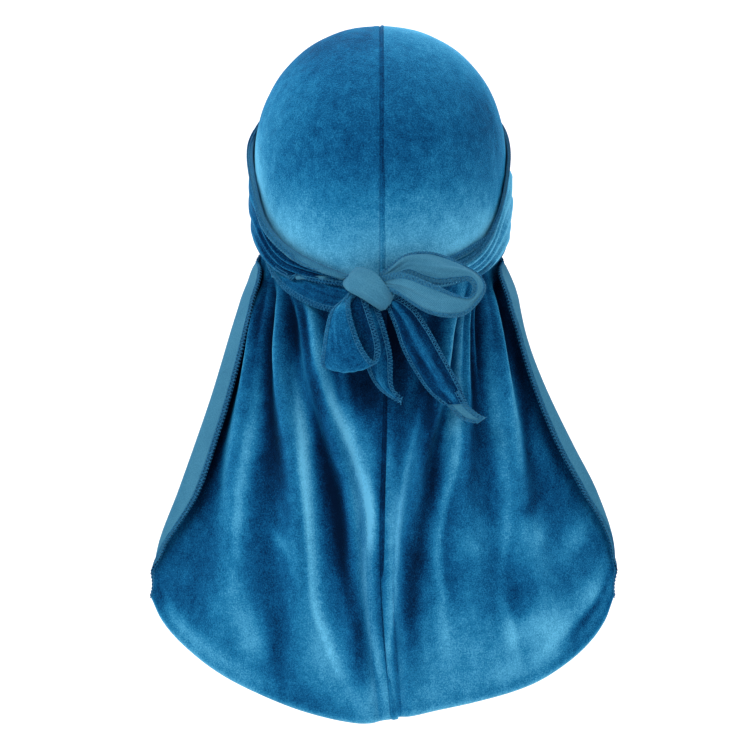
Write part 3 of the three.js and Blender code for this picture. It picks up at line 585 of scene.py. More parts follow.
# Tone of the crown: a painted highlight towards the nape, and patches of painted highlight and
# painted shade
def crown_tone_and_painted_light(side, fan, spread):
    tone_and_painted_light = NAPE_PAINTED_HIGHLIGHT * smooth(NAPE_PALE_START, NAPE_PALE_END, fan) + 0 * spread
    for at_fan, at_spread, reach_fan, reach_spread, strength in CROWN_PAINTED_LIGHT[side]:
        u = (fan - at_fan) / reach_fan
        v = (spread - at_spread) / reach_spread
        tone_and_painted_light = tone_and_painted_light + strength * np.exp(-(u**2) - v**2)
    return tone_and_painted_light


# Small gathers where the cape leaves the strap
def gather_height(side, cloth, down):
    shown = fade(GATHER_LEVELS, down) * smooth(GATHER_START, GATHER_FULL, cloth)
    phase = GATHERS * cloth + GATHER_WANDER * np.sin(GATHER_SWING * cloth + side)
    return GATHER_HEIGHT * shown * np.sin(2 * math.pi * phase)


def place_across(side, cloth, down):
    at_cloth = [fold[0] for fold in FOLDS[side]]
    places = [read(FOLD_LEVELS, fold[1], down) for fold in FOLDS[side]]
    return read([0, *at_cloth, 1], [0, *places, 1], cloth)


def cape_point(side, across, down):
    key = SIDE_NAMES[side]
    width = column(CAPE, key, down)
    seam = column(CAPE, "seam", down)
    roundness = column(CAPE, "round", down)
    forward = column(CAPE, "forward", down)
    back = column(CAPE, "back", down)
    bend = 1 - np.sqrt(1 - (roundness * across) ** 2)
    full_bend = 1 - np.sqrt(1 - roundness**2)
    x = seam * (1 - across * across) + side * across * width
    y = -back + forward * bend / full_bend
    slope = forward * roundness**2 * across / (width * full_bend * (1 - bend))
    length = np.sqrt(1 + slope**2)
    zero = 0 * slope
    outward = np.stack([side / length, slope / length, zero], -1)
    proud = np.stack([side * slope / length, -1 / length, zero], -1)
    nape_spread = column(CROWN_EDGE, "spread", NAPE_ANGLE) * across
    nape = crown_point(side, NAPE_ANGLE, nape_spread)
    bottom = crown_point(side, NAPE_ANGLE, 0.0)[2] - CAPE_LENGTH + column(HEM, key, across)
    z = mix(nape[..., 2], bottom, down)
    x = mix(nape[..., 0], x, smooth(0, SETTLE_END, down))
    y = mix(nape[..., 1], y, smooth(SETTLE_START, SETTLE_END, down))
    return np.stack([x, y, z], -1), outward, proud


# Seam allowance turned in: distance from the seam and depth
ALLOWANCE = [(4.0, 1.8), (2.4, 1.8), (1.2, 1.75), (0.5, 1.4), (0.1, 0.8)]

# Columns and rows of the panels
STRIP_STEPS = 8
MAIN_STEPS = 96
ROLL_STEPS = 12
LAPEL_STEPS = 10
CROWN_STEPS = 120
CAPE_STEPS = 200
CAPE_SPACING = 1.15
NAPE_START = 150

# Unevenness: height, waves in each direction, how many are laid together, and seed
CROWN_UNEVEN = 0.25
CROWN_WAVE_SPREAD = 30
CROWN_WAVE_FAN = 40
CROWN_WAVES = 8
CROWN_SEED = 3
CAPE_UNEVEN = 0.8
CAPE_WAVES_ACROSS = 2
CAPE_WAVES_DOWN = 1.6
CAPE_WAVES = 10
CAPE_SEED = 11
UNEVEN_START = 0.08
UNEVEN_FULL = 0.25

# Soft roll along the hem: height, distance from the edge, and reach
HEM_ROLL = 0.8
HEM_ROLL_PLACE = 2.5
HEM_ROLL_REACH = 2.0


def crown_rows(side):
    rows = []
    tones_and_painted_light = []
    strip = np.linspace(0, STRIP_EDGE, STRIP_STEPS + 1)
    for i in range(CROWN_STEPS + 1):
        fan = mix(BROW_ANGLE, NAPE_ANGLE, i / CROWN_STEPS)
        reach = np.linalg.norm(crown_point(side, fan, 0.0) - [0, 0, FAN_HEIGHT])
        spreads = np.degrees(np.arctan2(strip, reach))
        edge = column(CROWN_EDGE, "spread", fan)
        cloth = np.linspace(0, 1, MAIN_STEPS + 1)[1:]
        nape_like = smooth(NAPE_START, NAPE_ANGLE, fan)
        share = mix(cloth, place_across(side, cloth, 0.0), nape_like)
        main = mix(spreads[-1], edge, share)
        turned = math.pi * LAPEL["radius"][0] + LAPEL["left"][0]
        beyond = np.linspace(0, turned, ROLL_STEPS + LAPEL_STEPS + 1)[1:] / HEAD_RADIUS
        spreads = np.concatenate([spreads, main, edge + np.degrees(beyond)])
        p = crown_point(side, fan, spreads)
        distance = np.abs(p[:, 0])
        lift = strip_rise(side, distance) + seam_dip(distance)
        fans = fan / CROWN_WAVE_FAN + 0 * spreads
        uneven = ripples(spreads / CROWN_WAVE_SPREAD, fans, CROWN_WAVES, CROWN_SEED + side)
        lift = lift + CROWN_UNEVEN * uneven
        p = p + crown_normal(p) * lift[:, None]
        p[:, 0] = side * np.maximum(side * p[:, 0], SEAM_GAP / 2)
        rows.append(p)
        tones_and_painted_light.append(crown_tone_and_painted_light(side, fan, spreads) + seam_tone(distance))
    return rows, tones_and_painted_light


def cape_rows(side):
    key = SIDE_NAMES[side]
    rows = []
    tones_and_painted_light = []
    for i in range(1, CAPE_STEPS + 1):
        down = (i / CAPE_STEPS) ** CAPE_SPACING
        width = float(column(CAPE, key, down))
        strip = STRIP_EDGE / width
        cloth = np.linspace(0, 1, MAIN_STEPS + 1)[1:]
        across = mix(strip, 1, place_across(side, cloth, down))
        across = np.concatenate([np.linspace(0, strip, STRIP_STEPS + 1), across])
        cloth = np.concatenate([np.zeros(STRIP_STEPS + 1), cloth])
        place, _, proud = cape_point(side, across, down)
        distance = across * width
        rise = fold_height(side, cloth, down) + strip_rise(side, distance) + seam_dip(distance)
        downs = down * CAPE_WAVES_DOWN + 0 * cloth
        uneven = ripples(cloth * CAPE_WAVES_ACROSS, downs, CAPE_WAVES, CAPE_SEED + side)
        rise = rise + CAPE_UNEVEN * smooth(UNEVEN_START, UNEVEN_FULL, down) * uneven
        rise = rise + gather_height(side, cloth, down)
        hem = np.exp(-(((1 - down) * CAPE_LENGTH - HEM_ROLL_PLACE) / HEM_ROLL_REACH) ** 2)
        rise = rise + HEM_ROLL * hem
        row = place + proud * rise[:, None]
        _, outward, proud = cape_point(side, np.array(1.0), down)
        radius = float(column(LAPEL, "radius", down))
        lapel = float(column(LAPEL, key, down))
        folding = smooth(LAPEL_START, LAPEL_FOLDED, down)
        unfolding = smooth(LAPEL_ENDING, LAPEL_END, down)
        rolled = math.pi * max(float(folding - unfolding), LEAST_FOLDED)
        bend = rolled / (math.pi * radius)
        turn = rolled * np.arange(1, ROLL_STEPS + 1)[:, None] / ROLL_STEPS
        roll = row[-1] + outward * np.sin(turn) / bend + proud * (1 - np.cos(turn)) / bend
        reach = lapel * np.arange(1, LAPEL_STEPS + 1)[:, None] / LAPEL_STEPS
        flat = roll[-1] + outward * reach * math.cos(rolled) + proud * reach * math.sin(rolled)
        row = np.concatenate([row, roll, flat])
        settled = float(smooth(0, SETTLE_END, down))
        row[0, 0] = float(column(CAPE, "seam", down)) * settled + side * SEAM_GAP / 2
        rows.append(row)
        # Near the nape the tone follows the crown's, with its painted highlight and painted shade
        nape_tone_and_painted_light = crown_tone_and_painted_light(side, NAPE_ANGLE, across * CROWN_EDGE["spread"][-1])
        nape_tone_and_painted_light = nape_tone_and_painted_light + seam_tone(distance)
        below_nape = float(smooth(0, NAPE_TONE_END, down))
        tone_and_painted_light = mix(nape_tone_and_painted_light, cape_tone_and_painted_light(side, cloth, across, down), below_nape)
        tones_and_painted_light.append(np.concatenate([tone_and_painted_light, np.full(ROLL_STEPS + LAPEL_STEPS, tone_and_painted_light[-1])]))
    return rows, tones_and_painted_light


def smooth_mesh(name, points, faces):
    mesh = bpy.data.meshes.new(name)
    mesh.from_pydata(points, [], faces)
    mesh.polygons.foreach_set("use_smooth", [True] * len(faces))
    return mesh


# Solid cloth from a grid of points on its outer surface: face, back and rim take slots 0, 1, 2
def cloth_object(name, grid, face_side, tone_and_painted_light):
    rows, columns = grid.shape[:2]
    du = np.gradient(grid, axis=0)
    dv = np.gradient(grid, axis=1)
    normal = unit(-face_side * np.cross(dv, du))
    inner = grid - normal * WALL
    points = np.concatenate([grid.reshape(-1, 3), inner.reshape(-1, 3)]) * MM
    index = np.arange(rows * columns).reshape(rows, columns)
    a, b = index[:-1, :-1].ravel(), index[:-1, 1:].ravel()
    c, d = index[1:, 1:].ravel(), index[1:, :-1].ravel()
    outer = np.stack([a, d, c, b], 1) if face_side > 0 else np.stack([a, b, c, d], 1)
    total = rows * columns
    back = outer[:, ::-1] + total
    loop = np.concatenate([index[0, :-1], index[:-1, -1], index[-1, :0:-1], index[:0:-1, 0]])
    following = np.roll(loop, -1)
    rim = np.stack([loop, following, following + total, loop + total], 1)
    if face_side < 0:
        rim = rim[:, ::-1]
    faces = np.concatenate([outer, back, rim])
    mesh = smooth_mesh(name, points.tolist(), faces.tolist())
    slots = np.concatenate([np.zeros(len(outer)), np.ones(len(back)), np.full(len(rim), 2)])
    mesh.polygons.foreach_set("material_index", slots.astype(int))
    lengths_u = distance_along(grid.mean(1))
    widths = np.linalg.norm(np.diff(grid, axis=1), axis=2)
    lengths_v = np.concatenate([np.zeros((rows, 1)), np.cumsum(widths, axis=1)], axis=1)
    lengths_v = np.broadcast_to(lengths_v.mean(0), (rows, columns))
    uv = np.stack([lengths_v, np.broadcast_to(lengths_u[:, None], (rows, columns))], -1)
    uv = np.concatenate([uv.reshape(-1, 2)] * 2) * MM
    layer = mesh.uv_layers.new(name="Cloth")
    layer.data.foreach_set("uv", uv[faces.ravel()].ravel())
    tone = mesh.attributes.new("tone_and_painted_light", "FLOAT", "POINT")
    tones = np.broadcast_to(tone_and_painted_light, (2, rows, columns)).astype(np.float32)
    tone.data.foreach_set("value", tones.ravel())
    return add_object(name, mesh)


def add_object(name, data):
    obj = bpy.data.objects.new(name, data)
    bpy.context.scene.collection.objects.link(obj)
    return obj


def new_material(name):
    material = bpy.data.materials.new(name)
    material.use_nodes = True
    tree = material.node_tree
    tree.nodes.clear()
    output = tree.nodes.new("ShaderNodeOutputMaterial")
    shader = tree.nodes.new("ShaderNodeBsdfPrincipled")
    tree.links.new(shader.outputs[0], output.inputs[0])
    return material, tree, shader


def add_noise(tree, vector, scale, detail, roughness):
    noise = tree.nodes.new("ShaderNodeTexNoise")
    noise.inputs["Scale"].default_value = scale
    noise.inputs["Detail"].default_value = detail
    noise.inputs["Roughness"].default_value = roughness
    tree.links.new(vector, noise.inputs["Vector"])
    return noise.outputs["Fac"]


# Tone that each point of the cloth carries: its own tone with painted highlights and painted shade
def add_tone_and_painted_light(tree):
    tone_and_painted_light = tree.nodes.new("ShaderNodeAttribute")
    tone_and_painted_light.attribute_name = "tone_and_painted_light"
    return tone_and_painted_light.outputs["Fac"]


# A value multiplied by a number and added to another value or number
def add_scaled(tree, value, factor, added):
    total = tree.nodes.new("ShaderNodeMath")
    total.operation = "MULTIPLY_ADD"
    tree.links.new(value, total.inputs[0])
    total.inputs[1].default_value = factor
    if isinstance(added, (int, float)):
        total.inputs[2].default_value = added
    else:
        tree.links.new(added, total.inputs[2])
    return total.outputs[0]


def add_ramp(tree, value, stops):
    ramp = tree.nodes.new("ShaderNodeValToRGB")
    ramp.color_ramp.elements[0].position = stops[0][0]
    ramp.color_ramp.elements[1].position = stops[-1][0]
    for position, _ in stops[1:-1]:
        ramp.color_ramp.elements.new(position)
    for element, (_, colour) in zip(ramp.color_ramp.elements, stops):
        element.color = (*colour, 1)
    tree.links.new(value, ramp.inputs["Fac"])
    return ramp.outputs["Color"]


def add_bump(tree, shader, height, strength, distance):
    bump = tree.nodes.new("ShaderNodeBump")
    bump.inputs["Strength"].default_value = strength
    bump.inputs["Distance"].default_value = distance
    tree.links.new(height, bump.inputs["Height"])
    tree.links.new(bump.outputs["Normal"], shader.inputs["Normal"])
    return bump.outputs["Normal"]


# Colours of the pile, the backing and the thread from the deepest tone to the palest
VELVET_STOPS = [
    (0.0, (0.0003, 0.006, 0.024)),
    (0.2, (0.0006, 0.021, 0.074)),
    (0.4, (0.0030, 0.074, 0.200)),
    (0.6, (0.0120, 0.168, 0.350)),
    (0.8, (0.0580, 0.305, 0.520)),
    (1.0, (0.1300, 0.480, 0.730)),
]
VELVET_TONE = -0.24
BACKING_STOPS = [
    (0.0, (0.002, 0.03, 0.085)),
    (0.35, (0.018, 0.11, 0.21)),
    (0.7, (0.034, 0.165, 0.275)),
    (1.0, (0.06, 0.22, 0.34)),
]
THREAD_STOPS = [(0.3, (0.003, 0.05, 0.14)), (0.7, (0.03, 0.21, 0.4))]


# Pile cloth: deep face-on, with a painted sheen that makes the colour paler where the surface is
# seen from the side, and stroked patches
def make_velvet():
    material, tree, shader = new_material("velvet")
    coords = tree.nodes.new("ShaderNodeTexCoord").outputs["Object"]
    stroked = add_noise(tree, coords, scale=42, detail=3, roughness=0.6)
    crushed = add_noise(tree, coords, scale=170, detail=4, roughness=0.65)
    grain = add_noise(tree, coords, scale=1300, detail=2, roughness=0.7)
    height = add_scaled(tree, crushed, factor=1.6, added=grain)
    normal = add_bump(tree, shader, height, strength=0.55, distance=0.0007)
    facing = tree.nodes.new("ShaderNodeLayerWeight")
    facing.inputs["Blend"].default_value = 0.5
    tree.links.new(normal, facing.inputs["Normal"])
    value = add_scaled(tree, add_tone_and_painted_light(tree), factor=1.0, added=VELVET_TONE)
    # Painted sheen: the colour is made paler where the surface is seen edge-on
    painted_edge_sheen = facing.outputs["Facing"]
    for source, factor in ((stroked, 0.22), (crushed, 0.3), (grain, 0.7), (painted_edge_sheen, 0.36)):
        value = add_scaled(tree, source, factor, value)
    tree.links.new(add_ramp(tree, value, VELVET_STOPS), shader.inputs["Base Color"])
    roughness = tree.nodes.new("ShaderNodeMapRange")
    roughness.inputs["To Min"].default_value = 0.6
    roughness.inputs["To Max"].default_value = 0.85
    tree.links.new(crushed, roughness.inputs["Value"])
    tree.links.new(roughness.outputs["Result"], shader.inputs["Roughness"])
    shader.inputs["Specular IOR Level"].default_value = 0.02
    shader.inputs["Sheen Weight"].default_value = 0.3
    shader.inputs["Sheen Roughness"].default_value = 0.3
    shader.inputs["Sheen Tint"].default_value = (0.03, 0.46, 0.9, 1)
    return material


# Matte knit back of the cloth, with fine slanting ribs
def make_backing():
    material, tree, shader = new_material("knit_backing")
    coords = tree.nodes.new("ShaderNodeTexCoord")
    ribs = tree.nodes.new("ShaderNodeTexWave")
    ribs.wave_type = "BANDS"
    ribs.bands_direction = "DIAGONAL"
    ribs.inputs["Scale"].default_value = 620
    ribs.inputs["Distortion"].default_value = 1.5
    ribs.inputs["Detail"].default_value = 2
    ribs.inputs["Detail Scale"].default_value = 3
    tree.links.new(coords.outputs["UV"], ribs.inputs["Vector"])
    place = coords.outputs["Object"]
    loops = add_noise(tree, place, scale=1500, detail=2, roughness=0.6)
    clouds = add_noise(tree, place, scale=60, detail=3, roughness=0.6)
    knit = add_scaled(tree, ribs.outputs["Fac"], factor=0.3, added=loops)
    value = add_scaled(tree, clouds, factor=0.5, added=knit)
    value = add_scaled(tree, add_tone_and_painted_light(tree), factor=1.0, added=value)
    value = add_scaled(tree, value, factor=0.85, added=0.0)
    tree.links.new(add_ramp(tree, value, BACKING_STOPS), shader.inputs["Base Color"])
    add_bump(tree, shader, knit, strength=0.4, distance=0.0004)
    shader.inputs["Roughness"].default_value = 0.85
    shader.inputs["Specular IOR Level"].default_value = 0.1
    shader.inputs["Sheen Weight"].default_value = 0.12
    shader.inputs["Sheen Roughness"].default_value = 0.5
    shader.inputs["Sheen Tint"].default_value = (0.3, 0.65, 0.9, 1)
    return material


# Fuzzy sewing thread of the overlocked edges
def make_thread():
    material, tree, shader = new_material("overlock_thread")
    coords = tree.nodes.new("ShaderNodeTexCoord").outputs["Object"]
    fuzz = add_noise(tree, coords, scale=1100, detail=2, roughness=0.6)
    tree.links.new(add_ramp(tree, fuzz, THREAD_STOPS), shader.inputs["Base Color"])
    add_bump(tree, shader, fuzz, strength=0.5, distance=0.0002)
    shader.inputs["Roughness"].default_value = 0.75
    shader.inputs["Specular IOR Level"].default_value = 0.08
    shader.inputs["Sheen Weight"].default_value = 0.12
    shader.inputs["Sheen Tint"].default_value = (0.1, 0.5, 0.85, 1)
    return material


velvet = make_velvet()
backing = make_backing()
thread = make_thread()


def dress(obj, materials, node):
    for material in materials:
        obj.data.materials.append(material)
    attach(obj, "root")
    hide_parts(node)
    return obj


# Seam allowance of the left panel, turned in behind the right one
def with_allowance(grid):
    seam = grid[:, 0]
    away = unit(seam - grid[:, 2])
    out = unit(np.cross(away, np.gradient(seam, axis=0)))
    columns = [seam + away * across - out * deep for across, deep in ALLOWANCE]
    return np.concatenate([np.stack(columns, 1), grid], axis=1)


# Tone of the back, and of the columns at the free edge of the lapel that lie under the overlock
SERGED_COLUMNS = 3
SERGED_TONE = -0.8
INSIDE_TONE = -0.06


def make_panel(side):
    name = "panel_" + SIDE_NAMES[side]
    crown, crown_tones = crown_rows(side)
    cape, cape_tones = cape_rows(side)
    grid = np.array(crown + cape)
    tone_and_painted_light = np.array(crown_tones + cape_tones)
    if side < 0:
        grid = with_allowance(grid)
        tone_and_painted_light = np.concatenate([np.repeat(tone_and_painted_light[:, :1], len(ALLOWANCE), axis=1), tone_and_painted_light], axis=1)
    inside = np.zeros_like(tone_and_painted_light) + INSIDE_TONE
    inside[CROWN_STEPS:, -SERGED_COLUMNS:] = SERGED_TONE
    obj = cloth_object(name + "_cloth", grid, side, np.stack([tone_and_painted_light, inside]))
    return dress(obj, (velvet, backing, velvet), name), grid


# Columns of a strap, its edge turned out, and its pleats
STRAP_ACROSS = 56
TURNED_ACROSS = 10
TURNED_RADIUS = 0.7
FLARE_BEND = 1.5
PLEATS = 4
PLEAT_SHARPNESS = 2.8
STEPS_PER_DEGREE = 0.8
LEAST_TURNED = 0.3
TURNED_START = 0.2
TURNED_FULL = 1.5
TURNED_LEFT = {"at": [0, 262, 276, 296, 320, 346], "width": [0.3, 0.3, 1.2, 2.4, 3.0, 3.2]}
TURNED_RIGHT = {"at": [0, 346], "width": [0.3, 0.3]}
TIE_SPREAD = 0.02

# Swings of the pleats along the strap: amount, degrees and start
PLEAT_WANDER = [(0.3, 11.0, 0), (0.2, 5.3, 1)]

# Turn where each strap comes out over the one below it, and its tone before and after
UNDER_END = 150
OVER_START = 200
LEFT_TONE = (-0.04, -0.2)
RIGHT_TONE = (-0.06, 0.3)

# Painted highlights on the pleats and on the fine lines beside them, and painted shade between
PLEAT_PAINTED_HIGHLIGHT = 0.34
PLEAT_TONE_SHARPNESS = 2.2
FINE_PAINTED_HIGHLIGHT = 0.2
FINE_SHARPNESS = 6
FINE_SHIFT = 0.5
FURROW_PAINTED_SHADE = 0.2


# Run of a strap round the head, its upper edge turned out over its face where the table says
def strap_grid(rows, start_side, tie, turned, tone):
    table = {name: [row[k] for row in rows] for k, name in enumerate(STRAP_COLUMNS)}
    first, last = table["at"][0], table["at"][-1]
    share = np.linspace(0, 1, STRAP_ACROSS + 1)
    grid = []
    tones_and_painted_light = []
    for turn in np.linspace(first, last, int((last - first) * STEPS_PER_DEGREE) + 1):
        up, low, off, pleat, flare = (column(table, name, turn) for name in STRAP_COLUMNS[1:])
        up, low = -NAPE_DROP * up, -NAPE_DROP * low
        width = np.maximum(column(turned, "width", turn), LEAST_TURNED)
        over = np.linspace(width, 0, TURNED_ACROSS + 1)[:-1]
        z = np.concatenate([up - over, mix(up, low, share)])
        axis = np.stack([0 * z, 0 * z, z], -1)
        angle = math.radians(turn)
        direction = np.array([start_side * math.sin(angle), -math.cos(angle), 0])
        p = crown_hit(axis, np.broadcast_to(direction, axis.shape))
        swings = [size * math.sin(turn / degrees + start) for size, degrees, start in PLEAT_WANDER]
        across = np.concatenate([over / (up - low), share])
        phase = PLEATS * across + sum(swings) * np.sin(math.pi * across)
        crest = np.abs(np.sin(math.pi * phase)) ** PLEAT_SHARPNESS
        pressed = smooth(PRESS_START, PRESS_FULL, turn) - smooth(PRESS_EASING, PRESS_END, turn)
        loose = mix(1, smooth(FLAT_SHARE, LOOSE_SHARE, across), float(pressed))
        lift = mix(UNDER, off + PLEAT_HEIGHT * pleat * crest, loose)
        lift = lift + FLARE_REACH * flare * across**FLARE_BEND
        raised = np.zeros(len(z))
        raised[:TURNED_ACROSS] = WALL + TURNED_RADIUS
        lift = lift + raised * smooth(TURNED_START, TURNED_FULL, width)
        grid.append(p + crown_normal(p) * lift[:, None])
        fine = np.abs(np.sin(2 * math.pi * phase + FINE_SHIFT)) ** FINE_SHARPNESS
        # Painted highlights on the pleats and fine lines, painted shade in the furrows
        lines = PLEAT_PAINTED_HIGHLIGHT * crest**PLEAT_TONE_SHARPNESS + FINE_PAINTED_HIGHLIGHT * fine - FURROW_PAINTED_SHADE
        outer = float(smooth(UNDER_END, OVER_START, turn))
        tones_and_painted_light.append(mix(tone[0], tone[1], outer) + lines * smooth(0, 1, pleat))
    share = np.concatenate([np.zeros(TURNED_ACROSS), share])
    for a, b in tie:
        grid.append(mix(np.array(a, float), np.array(b, float), share[:, None]))
        tones_and_painted_light.append(tones_and_painted_light[-1])
    grid = np.array(grid)
    spread = TIE_SPREAD * np.arange(TURNED_ACROSS, 0, -1)[None, :, None]
    grid[:, :TURNED_ACROSS] += spread * np.array([0, 0, 1.0])
    return grid, np.array(tones_and_painted_light)


CREASE_FADE = 0.12
# Creases are painted paler: a painted highlight along them
CREASE_PAINTED_HIGHLIGHT = 0.1
WRINKLES_ACROSS = 3
WRINKLES_ALONG = 4
WRINKLE_WAVES = 6


# Lengthwise creases of a band: place across it, width, height, and where they start and end
def crease_height(creases, share, along):
    lift = 0
    for place, width, height, first, last in creases:
        shown = fade((first, first + CREASE_FADE, last - CREASE_FADE, last), along)
        lift = lift + height * shown * np.exp(-(((share - place) / width) ** 2))
    return lift


# Band of a tied end through its stations, with its bulge, wrinkles and creases,
# and a painted highlight along the creases
def band_grid(stations, along, across, wrinkle, seed, tone, creases=()):
    a = np.array([s[0] for s in stations], float)
    b = np.array([s[1] for s in stations], float)
    bulge = [s[2] for s in stations]
    at = np.linspace(0, len(stations) - 1, along + 1)
    places = np.arange(len(stations))
    a = np.stack([read(places, a[:, k], at) for k in range(3)], -1)
    b = np.stack([read(places, b[:, k], at) for k in range(3)], -1)
    bulge = read(places, bulge, at)
    share = np.linspace(0, 1, across + 1)
    flat = a[:, None] + (b - a)[:, None] * share[:, None]
    along_way = np.gradient((a + b) / 2, axis=0)
    outer = unit(np.cross(b - a, along_way))
    u, v = np.meshgrid(at / at[-1], share, indexing="ij")
    lift = bulge[:, None] * 4 * share * (1 - share)
    wrinkles = ripples(v * WRINKLES_ACROSS, u * WRINKLES_ALONG, WRINKLE_WAVES, seed)
    lift = lift + wrinkle * wrinkles * np.sin(math.pi * share)
    creased = crease_height(creases, v, u) + 0 * v
    lift = lift + creased
    return flat + outer[:, None] * lift[..., None], tone + CREASE_PAINTED_HIGHLIGHT * creased


THREAD_RADIUS = 0.27
THREAD_SIDES = 5
THREAD_LIFT = 0.22
STITCH_PITCH = 2.1
STITCH_WIDTH = 2.9
STITCH_STEPS = 6
STITCH_COLUMNS = 3
STITCH_OVERHANG = 0.35
STITCH_TURN = 0.25
CHAIN_WANDER = 0.1
CHAIN_SWING = 7
LEAST_STITCH_WIDTH = 1.2
LAPEL_STITCH_EXTRA = 0.6


# Round thread along each of some paths, all in one mesh
def thread_object(name, paths):
    vertices = []
    faces = []
    total = 0
    for points, out in paths:
        along = unit(np.gradient(points, axis=0))
        side = unit(np.cross(along, out))
        top = np.cross(side, along)
        turn = 2 * math.pi * np.arange(THREAD_SIDES) / THREAD_SIDES
        ring = np.cos(turn)[:, None] * side[:, None] + np.sin(turn)[:, None] * top[:, None]
        vertices.append((points[:, None] + THREAD_RADIUS * ring).reshape(-1, 3))
        count = len(points)
        index = total + np.arange(count * THREAD_SIDES).reshape(count, THREAD_SIDES)
        following = np.roll(index, -1, axis=1)
        quads = np.stack([index[:-1], following[:-1], following[1:], index[1:]], -1)
        faces.append(quads.reshape(-1, 4))
        total += count * THREAD_SIDES
    vertices = np.concatenate(vertices) * MM
    faces = np.concatenate(faces)
    return add_object(name, smooth_mesh(name, vertices.tolist(), faces.tolist()))


# Stitches get narrower where the lapel does
def lapel_stitch_width(grid):
    lapel = np.linalg.norm(grid[:, -1] - grid[:, -1 - LAPEL_STEPS], axis=1)
    return np.clip(lapel + LAPEL_STITCH_EXTRA, LEAST_STITCH_WIDTH, STITCH_WIDTH)


# Overlock stitches along one edge of a cloth grid, on its outer face and its back
def overlock(grid, edge, face_side, width=STITCH_WIDTH):
    inward = STITCH_COLUMNS if edge == 0 else edge - STITCH_COLUMNS
    sign = -face_side if edge == 0 else face_side
    rim = grid[:, edge]
    into = grid[:, inward] - rim
    out = unit(sign * np.cross(into, np.gradient(rim, axis=0)))
    into = unit(into)
    lengths = distance_along(rim)
    count = max(int(lengths[-1] / STITCH_PITCH), 2)
    steps = np.linspace(0, lengths[-1], STITCH_STEPS * count + 1)

    def sample(values):
        return np.stack([np.interp(steps, lengths, values[:, k]) for k in range(3)], -1)

    base, into, out = sample(rim), sample(into), unit(sample(out))
    width = np.interp(steps, lengths, np.broadcast_to(width, len(rim)))
    phase = np.arange(len(steps)) / STITCH_STEPS
    swing = 0.5 - 0.5 * np.cos(2 * math.pi * phase)
    depth = (width * swing - STITCH_OVERHANG)[:, None]
    middle = -WALL / 2
    paths = []
    for lift in (THREAD_LIFT, -WALL - THREAD_LIFT):
        height = mix(middle, lift, smooth(0, STITCH_TURN, swing))[:, None]
        paths.append((base + into * depth + out * height, out))
        chain = (width + CHAIN_WANDER * np.sin(CHAIN_SWING * phase))[:, None]
        paths.append((base + into * chain + out * lift, out))
    return paths


left_panel, left_grid = make_panel(-1)
right_panel, right_grid = make_panel(1)

left_run = strap_grid(LEFT_STRAP_ROWS, 1, LEFT_TIE, TURNED_LEFT, LEFT_TONE)
right_run = strap_grid(RIGHT_STRAP_ROWS, -1, RIGHT_TIE, TURNED_RIGHT, RIGHT_TONE)

# Creases of each band: place across it, width, height, start and end
KNOT_CREASES = [(0.35, 0.12, 0.7, 0.1, 0.9), (0.8, 0.08, 0.6, 0.3, 1.0)]
BOW_CREASES = [
    (0.3, 0.1, 1.4, 0.0, 0.3),
    (0.55, 0.12, 1.6, 0.2, 0.48),
    (0.6, 0.1, 0.9, 0.6, 1.0),
]
LONG_CREASES = [(0.45, 0.1, 2.4, 0.05, 1.05), (0.8, 0.07, 0.8, 0.1, 0.8)]
HANGING_CREASES = [(0.2, 0.12, 0.9, 0.0, 0.26), (0.55, 0.16, 0.8, 0.0, 0.3)]
SHORT_CREASES = [(0.5, 0.14, 1.6, 0.1, 1.0)]

# Bands: stations, rows, columns, wrinkles, seed, tone and creases
knot = band_grid(KNOT_BAND, 48, 30, 0.25, 2, 0, KNOT_CREASES)
bow = band_grid(BOW_LOOP, 130, 36, 0.4, 5, 0, BOW_CREASES)
long_tail = band_grid(LONG_TAIL, 80, 36, 0.3, 8, -0.24, LONG_CREASES)
tip = band_grid(TAIL_TIP, 30, 20, 0.1, 9, 0)
hanging = band_grid(HANGING_LOOP, 110, 40, 0.3, 12, -0.02, HANGING_CREASES)
short_tail = band_grid(SHORT_TAIL, 70, 26, 0.25, 14, -0.12, SHORT_CREASES)

# Painted shade inside the bow's rounded end, and painted shade on the inner face of the hanging
# loop, which shows velvet inside too
BOW_PAINTED_SHADE = 0.65
BOW_SHADE_REACH = 0.14
LOOP_PAINTED_SHADE = 0.14
from_end = (np.linspace(0, 1, len(bow[1])) - 0.5) / BOW_SHADE_REACH
inside = bow[1] - BOW_PAINTED_SHADE * np.exp(-(from_end**2))[:, None]
bow = (bow[0], np.stack([bow[1], inside]))
hanging = (hanging[0], np.stack([hanging[1], hanging[1] - LOOP_PAINTED_SHADE]))

# Cloth of the face, the back and the rim
VELVET_OUT = (velvet, backing, velvet)
VELVET_BOTH = (velvet, velvet, velvet)
BACKING_OUT = (backing, velvet, backing)

# Pieces of each strap: name, grid with its tone, side that faces out, and cloth
LEFT_PIECES = [
    ("strap_left_wrap", left_run, -1, VELVET_OUT),
    ("hanging_loop", hanging, -1, VELVET_BOTH),
    ("short_tail", short_tail, -1, VELVET_OUT),
]
RIGHT_PIECES = [
    ("strap_right_wrap", right_run, 1, VELVET_OUT),
    ("knot_band", knot, -1, BACKING_OUT),
    ("bow_loop", bow, -1, BACKING_OUT),
    ("long_tail", long_tail, -1, VELVET_OUT),
    ("tail_tip", tip, -1, BACKING_OUT),
]


def make_strap(pieces, node):
    made = []
    paths = []
    for name, (grid, tone_and_painted_light), face_side, materials in pieces:
        obj = cloth_object(name, grid, face_side, tone_and_painted_light)
        made.append(dress(obj, materials, node))
        if name != "knot_band":
            paths += overlock(grid, 0, face_side)
            paths += overlock(grid, -1, face_side)
    edges = thread_object(node + "_overlock", paths)
    made.append(dress(edges, (thread,), node))
    return made


strap_left = make_strap(LEFT_PIECES, "strap_left")
strap_right = make_strap(RIGHT_PIECES, "strap_right")


